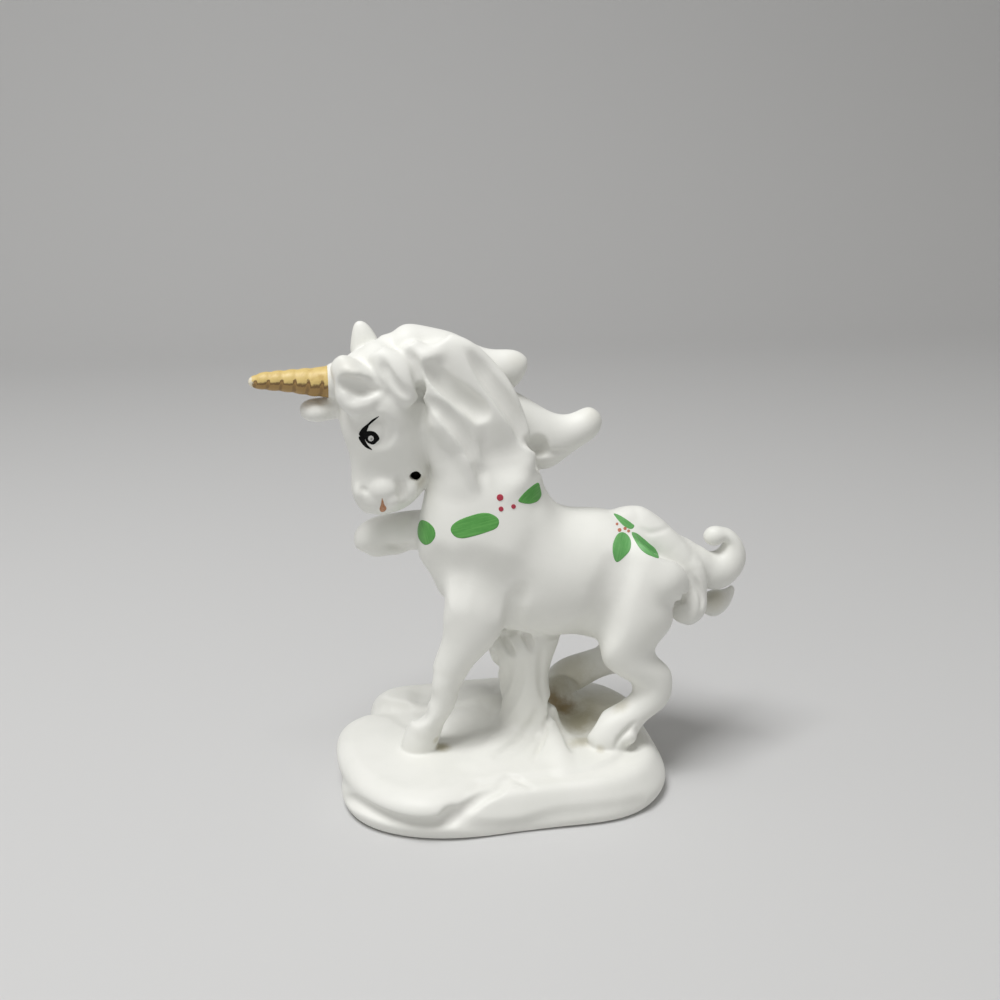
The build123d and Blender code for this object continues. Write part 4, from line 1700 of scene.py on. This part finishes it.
@dataclass
class Paint:
    """The painted holly on chest and croup, the painted eyes with a painted highlight, and the mouth.

    Leaves, the iris and the mouth are outlines. Berries, the glint and the grey middle of the glint are
    spots, each with its radius in pixels. The coats are how thick the enamel lies, in millimetres.

    Args:
        lash: Pixels along the lash line, each with half the brush's width there.
        lash_runs: Which of them each of its strokes takes.
    """

    chest_leaf: Path = (
        (421, 520), (418, 526), (417.5, 534), (420, 541), (425, 545), (431, 543), (435.5, 536),
        (434, 528), (428, 522),
    )
    shoulder_leaf: Path = (
        (450.5, 531), (452, 525), (459, 520), (469, 516), (480, 513), (489, 513), (497, 517),
        (499.5, 522), (497, 528), (488, 532), (475, 536), (463, 538.5), (455, 537),
    )
    withers_leaf: Path = (
        (518, 501), (523, 494), (530, 487.5), (538, 482.5), (540.5, 488), (541.5, 495), (538, 501),
        (531, 503.8), (524, 503.5),
    )
    croup_leaves: tuple[Path, ...] = (
        ((613.5, 514), (618, 514.5), (625, 518.5), (632, 523.5), (634.5, 526), (632, 529), (627, 528),
         (621, 523.5)),
        ((618, 533.5), (623, 532), (628, 535), (631, 541), (630.5, 549), (626, 555.5), (617, 562.5),
         (613, 555), (612.5, 546), (614.5, 539)),
        ((631.5, 533), (636, 532.8), (643, 538), (650, 544), (656, 549.5), (659, 558), (652, 556.5),
         (644, 552.5), (637, 544.5)),
    )
    berries: tuple[tuple[Pixel, float], ...] = (
        ((500, 497.5), 3.4), ((501, 509), 2.5), ((513.5, 506.5), 2.3),
    )
    croup_berries: tuple[tuple[Pixel, float], ...] = (
        ((617, 524), 1.3), ((619.5, 530), 1.9), ((625, 528.5), 1.6), ((628.5, 531), 1.5),
    )
    lash: tuple[tuple[float, float, float], ...] = (
        (378.5, 416.5, 0.3), (373, 420, 0.8), (368, 425, 1.2), (364, 430, 2.6), (361.5, 436, 3.0),
        (363, 441, 2.4), (366.5, 446, 1.6), (371.5, 449.5, 0.5),
    )
    lash_runs: tuple[tuple[int, int], ...] = ((0, 5), (4, 8))
    iris: Path = (
        (364, 433), (368, 431), (374, 431.5), (378, 435), (379.5, 439), (377, 442), (374, 444.5),
        (370, 444), (366, 441),
    )
    # A painted highlight: a light disc on the iris, with a grey spot in its middle.
    glint: tuple[Pixel, float] = ((371, 438.3), 2.9)
    glint_middle: tuple[Pixel, float] = ((371.6, 438.8), 1.1)
    mouth: Path = (
        (382, 498), (383, 500), (384.5, 504.5), (386.5, 508.5), (384.5, 511.5), (381.5, 512),
        (379.5, 509.5), (381, 504),
    )
    berry_coat: float = 0.09
    croup_coat: float = 0.06
    iris_coat: float = 0.06
    glint_coat: float = 0.08
    mouth_coat: float = 0.04
    glint_middle_coat: float = 0.1

    def patches(self) -> list[Patch]:
        """Every dab, in the order in which it is painted."""
        leaves = (
            ("chest_leaf", self.chest_leaf), ("shoulder_leaf", self.shoulder_leaf),
            ("withers_leaf", self.withers_leaf),
        )
        patches = [Patch(name, outline, Pot.LEAF) for name, outline in leaves]
        for n, outline in enumerate(self.croup_leaves, 1):
            patches.append(Patch(f"croup_leaf_{n}", outline, Pot.CROUP_LEAF))
        for n, berry in enumerate(self.berries, 1):
            patches.append(Patch(f"berry_{n}", disc(*berry), Pot.BERRY, self.berry_coat))
        for n, berry in enumerate(self.croup_berries, 1):
            patches.append(Patch(f"croup_berry_{n}", disc(*berry), Pot.CROUP_BERRY, self.croup_coat))
        for n, run in enumerate(self.lash_runs, 1):
            patches.append(Patch(f"lash_{n}", stripe(self.lash[slice(*run)]), Pot.BLACK, both=True))
        twins = (
            ("iris", self.iris, Pot.BLACK, self.iris_coat),
            # The glint and the grey spot in it paint a highlight on each eye.
            ("glint", disc(*self.glint), Pot.GLINT, self.glint_coat),
            ("mouth", self.mouth, Pot.MOUTH, self.mouth_coat),
            ("glint_middle", disc(*self.glint_middle), Pot.GLINT_MIDDLE, self.glint_middle_coat),
        )
        return patches + [Patch(*dab, both=True) for dab in twins]

    def lay(self, hand: Hand) -> None:
        """Paints the figurine.

        Args:
            hand: What finds the porcelain.
        """
        finishes = {pot: pot.value.make() for pot in Pot}
        for patch in self.patches():
            patch.lay(hand, finishes)


@dataclass(frozen=True)
class Studio:
    """A pale table under plain soft light.

    Args:
        table: Half the table's width, and how far it comes forward, in metres.
        back: Where it starts to sweep up.
        bend: The radius of the sweep.
        bend_steps: How many flat strips the sweep has.
        white: Its colour.
        rough: Its roughness.
        relief: Its own unevenness.
        ambient: The colour of the light from all round.
        sky: How strong that is.
        wall: What the camera and the glaze see instead of it.
        key: Where the key lamp hangs.
        key_size: Its side.
        key_energy: Its power, in watts.
        fill: Where the fill lamp hangs.
        fill_size: Its side.
        fill_energy: Its power, in watts.
        aim: What the lamps face.
    """

    table: float = 1.6
    back: float = 0.55
    bend: float = 0.25
    bend_steps: int = 12
    white: Colour = (0.62, 0.62, 0.62)
    rough: float = 0.8
    relief: Relief = Relief(Grain(2.0), 0.01, 0.2)
    ambient: Colour = (1.0, 0.985, 0.95)
    sky: float = 0.34
    wall: Colour = (0.9, 0.9, 0.9)
    key: tuple[float, float, float] = (-0.20, -0.17, 0.76)
    key_size: float = 0.32
    key_energy: float = 4.5
    fill: tuple[float, float, float] = (-0.7, -0.6, 0.35)
    fill_size: float = 0.5
    fill_energy: float = 0.3
    aim: tuple[float, float, float] = (0.0, 0.0, 0.05)

    def floor(self) -> None:
        """Makes the table top, which sweeps up behind into a backdrop."""
        steps = [(-self.table, 0.0), (self.back, 0.0)]
        for count in range(1, self.bend_steps + 1):
            angle = math.pi / 2 * count / self.bend_steps
            steps.append((self.back + self.bend * math.sin(angle), self.bend * (1 - math.cos(angle))))
        steps.append((self.back + self.bend, self.table))
        points = [(x * self.table, y, z) for y, z in steps for x in (-1, 1)]
        faces = [(2 * n, 2 * n + 1, 2 * n + 3, 2 * n + 2) for n in range(len(steps) - 1)]
        mesh = bpy.data.meshes.new("table")
        mesh.from_pydata(points, [], faces)
        mesh.polygons.foreach_set("use_smooth", [True] * len(faces))
        material = bpy.data.materials.new("table")
        shop = Shop(material)
        shop.finish(self.white, self.rough, shop.bump(shop.noise(self.relief.grain), self.relief))
        mesh.materials.append(material)
        put("table", mesh)

    def lamp(self, name: str, place: tuple[float, float, float], size: float, energy: float) -> None:
        """Hangs one soft lamp that faces the figurine.

        Args:
            name: Its name.
            place: Where it hangs, in metres.
            size: Its side.
            energy: Its power in watts.
        """
        light = bpy.data.lights.new(name, "AREA")
        light.size = size
        light.energy = energy
        lamp = put(name, light)
        lamp.location = place
        lamp.rotation_mode = "QUATERNION"
        lamp.rotation_quaternion = (Vector(self.aim) - Vector(place)).to_track_quat("-Z", "Y")

    def light(self) -> None:
        """Hangs the lamps, and lights the table from all round."""
        self.lamp("key", self.key, self.key_size, self.key_energy)
        self.lamp("fill", self.fill, self.fill_size, self.fill_energy)
        world = bpy.data.worlds.new("world")
        bpy.context.scene.world = world
        shop = Shop(world)
        kinds = ("Is Camera Ray", "Is Glossy Ray", "Is Transmission Ray")
        camera, glossy, through = (shop.node("ShaderNodeLightPath", output=kind) for kind in kinds)
        ambient = shop.node("ShaderNodeBackground", {}, {"Color": self.ambient, "Strength": self.sky})
        shown = shop.node("ShaderNodeBackground", {}, {"Color": self.wall})
        seen = camera.highest(glossy).highest(through)
        surface = shop.node("ShaderNodeMixShader", {}, {0: seen, 1: ambient, 2: shown})
        shop.node("ShaderNodeOutputWorld", {}, {"Surface": surface})


@dataclass
class Figurine:
    """The whole unicorn, joined in clay out of the CAD's solids.

    Args:
        pitch: The distance between the clay's samples, in millimetres.
        margin: How much room there is round the figurine.
        reach: How far outside a solid its distance is known.
        depth: How far inside.
        limbs: The nodes of the trunk and the legs.
        rock: The nodes of the ground.
        limb_slip: The radius of the slip in the limbs' creases.
        rock_slip: The same for the rock.
        rounds: How often a group is rubbed.
        foot_blend: How far the hooves and the stump flow into their neighbours.
        blends: The other nodes, in the order in which they join, and how far each flows in.
    """

    pitch: float = 0.3
    quick_pitch: float = 0.4
    margin: float = 3.0
    reach: float = 3.2
    depth: float = 1.8
    limbs: tuple[str, ...] = ("body", "near_foreleg", "raised_foreleg", "near_hind_leg", "far_hind_leg")
    rock: tuple[str, ...] = ("base", "tree_stump")
    limb_slip: float = 2.4
    rock_slip: float = 1.6
    rounds: int = 4
    quick_rounds: int = 2
    foot_blend: float = 0.7
    blends: tuple[tuple[str, float], ...] = (
        ("head", 0.7), ("tail_plume", 1.6), ("horn_collar", 1.0), ("forelock", 0.7), ("far_ear", 0.8),
        ("near_ear", 0.5), ("crest_lock", 0.7), ("mane_front_lock", 0.9), ("mane_rear_lock", 1.2),
        ("far_mane_lock", 1.6), ("upper_flying_lock", 0.7), ("lower_flying_lock", 0.7),
        ("tail_under_lock", 0.8), ("tail_side_lock", 0.6), ("horn", 0.25),
    )

    def group(self, clay: Clay, cad: Frame, names: tuple[str, ...], slip: float) -> np.ndarray:
        """Joins some solids with slip in their creases.

        Args:
            clay: The block that they lie in.
            cad: The solids.
            names: The nodes to join.
            slip: The radius of the slip in a crease.

        Returns:
            Distances to the group.
        """
        values = np.full(clay.shape, clay.far, np.float32)
        cad.union(names, values)
        parts = [cad.blocks[name] for name in names]
        block = tuple(
            slice(min(part.start for part in line), max(part.stop for part in line)) for line in zip(*parts)
        )
        values[block] = close_creases(values[block], slip, clay.pitch)
        log.info("%s joined", ", ".join(names))
        return rub(values, self.rounds)

    def model(self) -> tuple[Clay, Frame]:
        """Fills the clay from the solids, with slip in the creases where limbs join."""
        pitch = self.pitch
        low = np.array(CAD_LOW) / MM - self.margin
        high = np.array(CAD_HIGH) / MM + self.margin
        clay = Clay(low, high, pitch, self.reach)
        cad = Frame(clay, self.reach, self.depth)
        limbs = self.group(clay, cad, self.limbs, self.limb_slip)
        rock = self.group(clay, cad, self.rock, self.rock_slip)
        clay.skin = blend(limbs, rock, self.foot_blend)
        for name, width in self.blends:
            part = clay.skin[cad.blocks[name]]
            part[...] = blend(part, cad.fields[name], width)
        clay.skin = rub(clay.skin, 1)
        return clay, cad


def main() -> None:
    """Builds the figurine, its stage and its camera."""
    logging.basicConfig(level=logging.INFO, format="%(name)s: %(message)s")
    bpy.context.scene.view_settings.view_transform = "Standard"
    view = View()
    clay, cad = Figurine().model()
    hand = Hand(clay, view)
    head = Head()
    white = (Torso(), head, Mane(), Legs(), Ground(), Tail())
    horn = Horn()
    for part in (*white, horn):
        part.shape(hand)
    clay.skin = rub(clay.skin, 1)
    whole = clay.skin.copy()
    bisque = Bisque().make(hand)
    gold = Gold().make(horn)
    Paint().lay(hand)
    hand.work((head.vent,))
    kiln = Kiln(clay, cad, whole)
    for part in white:
        part.dress(kiln, bisque, "bisque")
    horn.dress(kiln, gold, "gold_enamel")
    studio = Studio()
    studio.floor()
    studio.light()
    view.place()


if __name__ == "__main__":
    main()
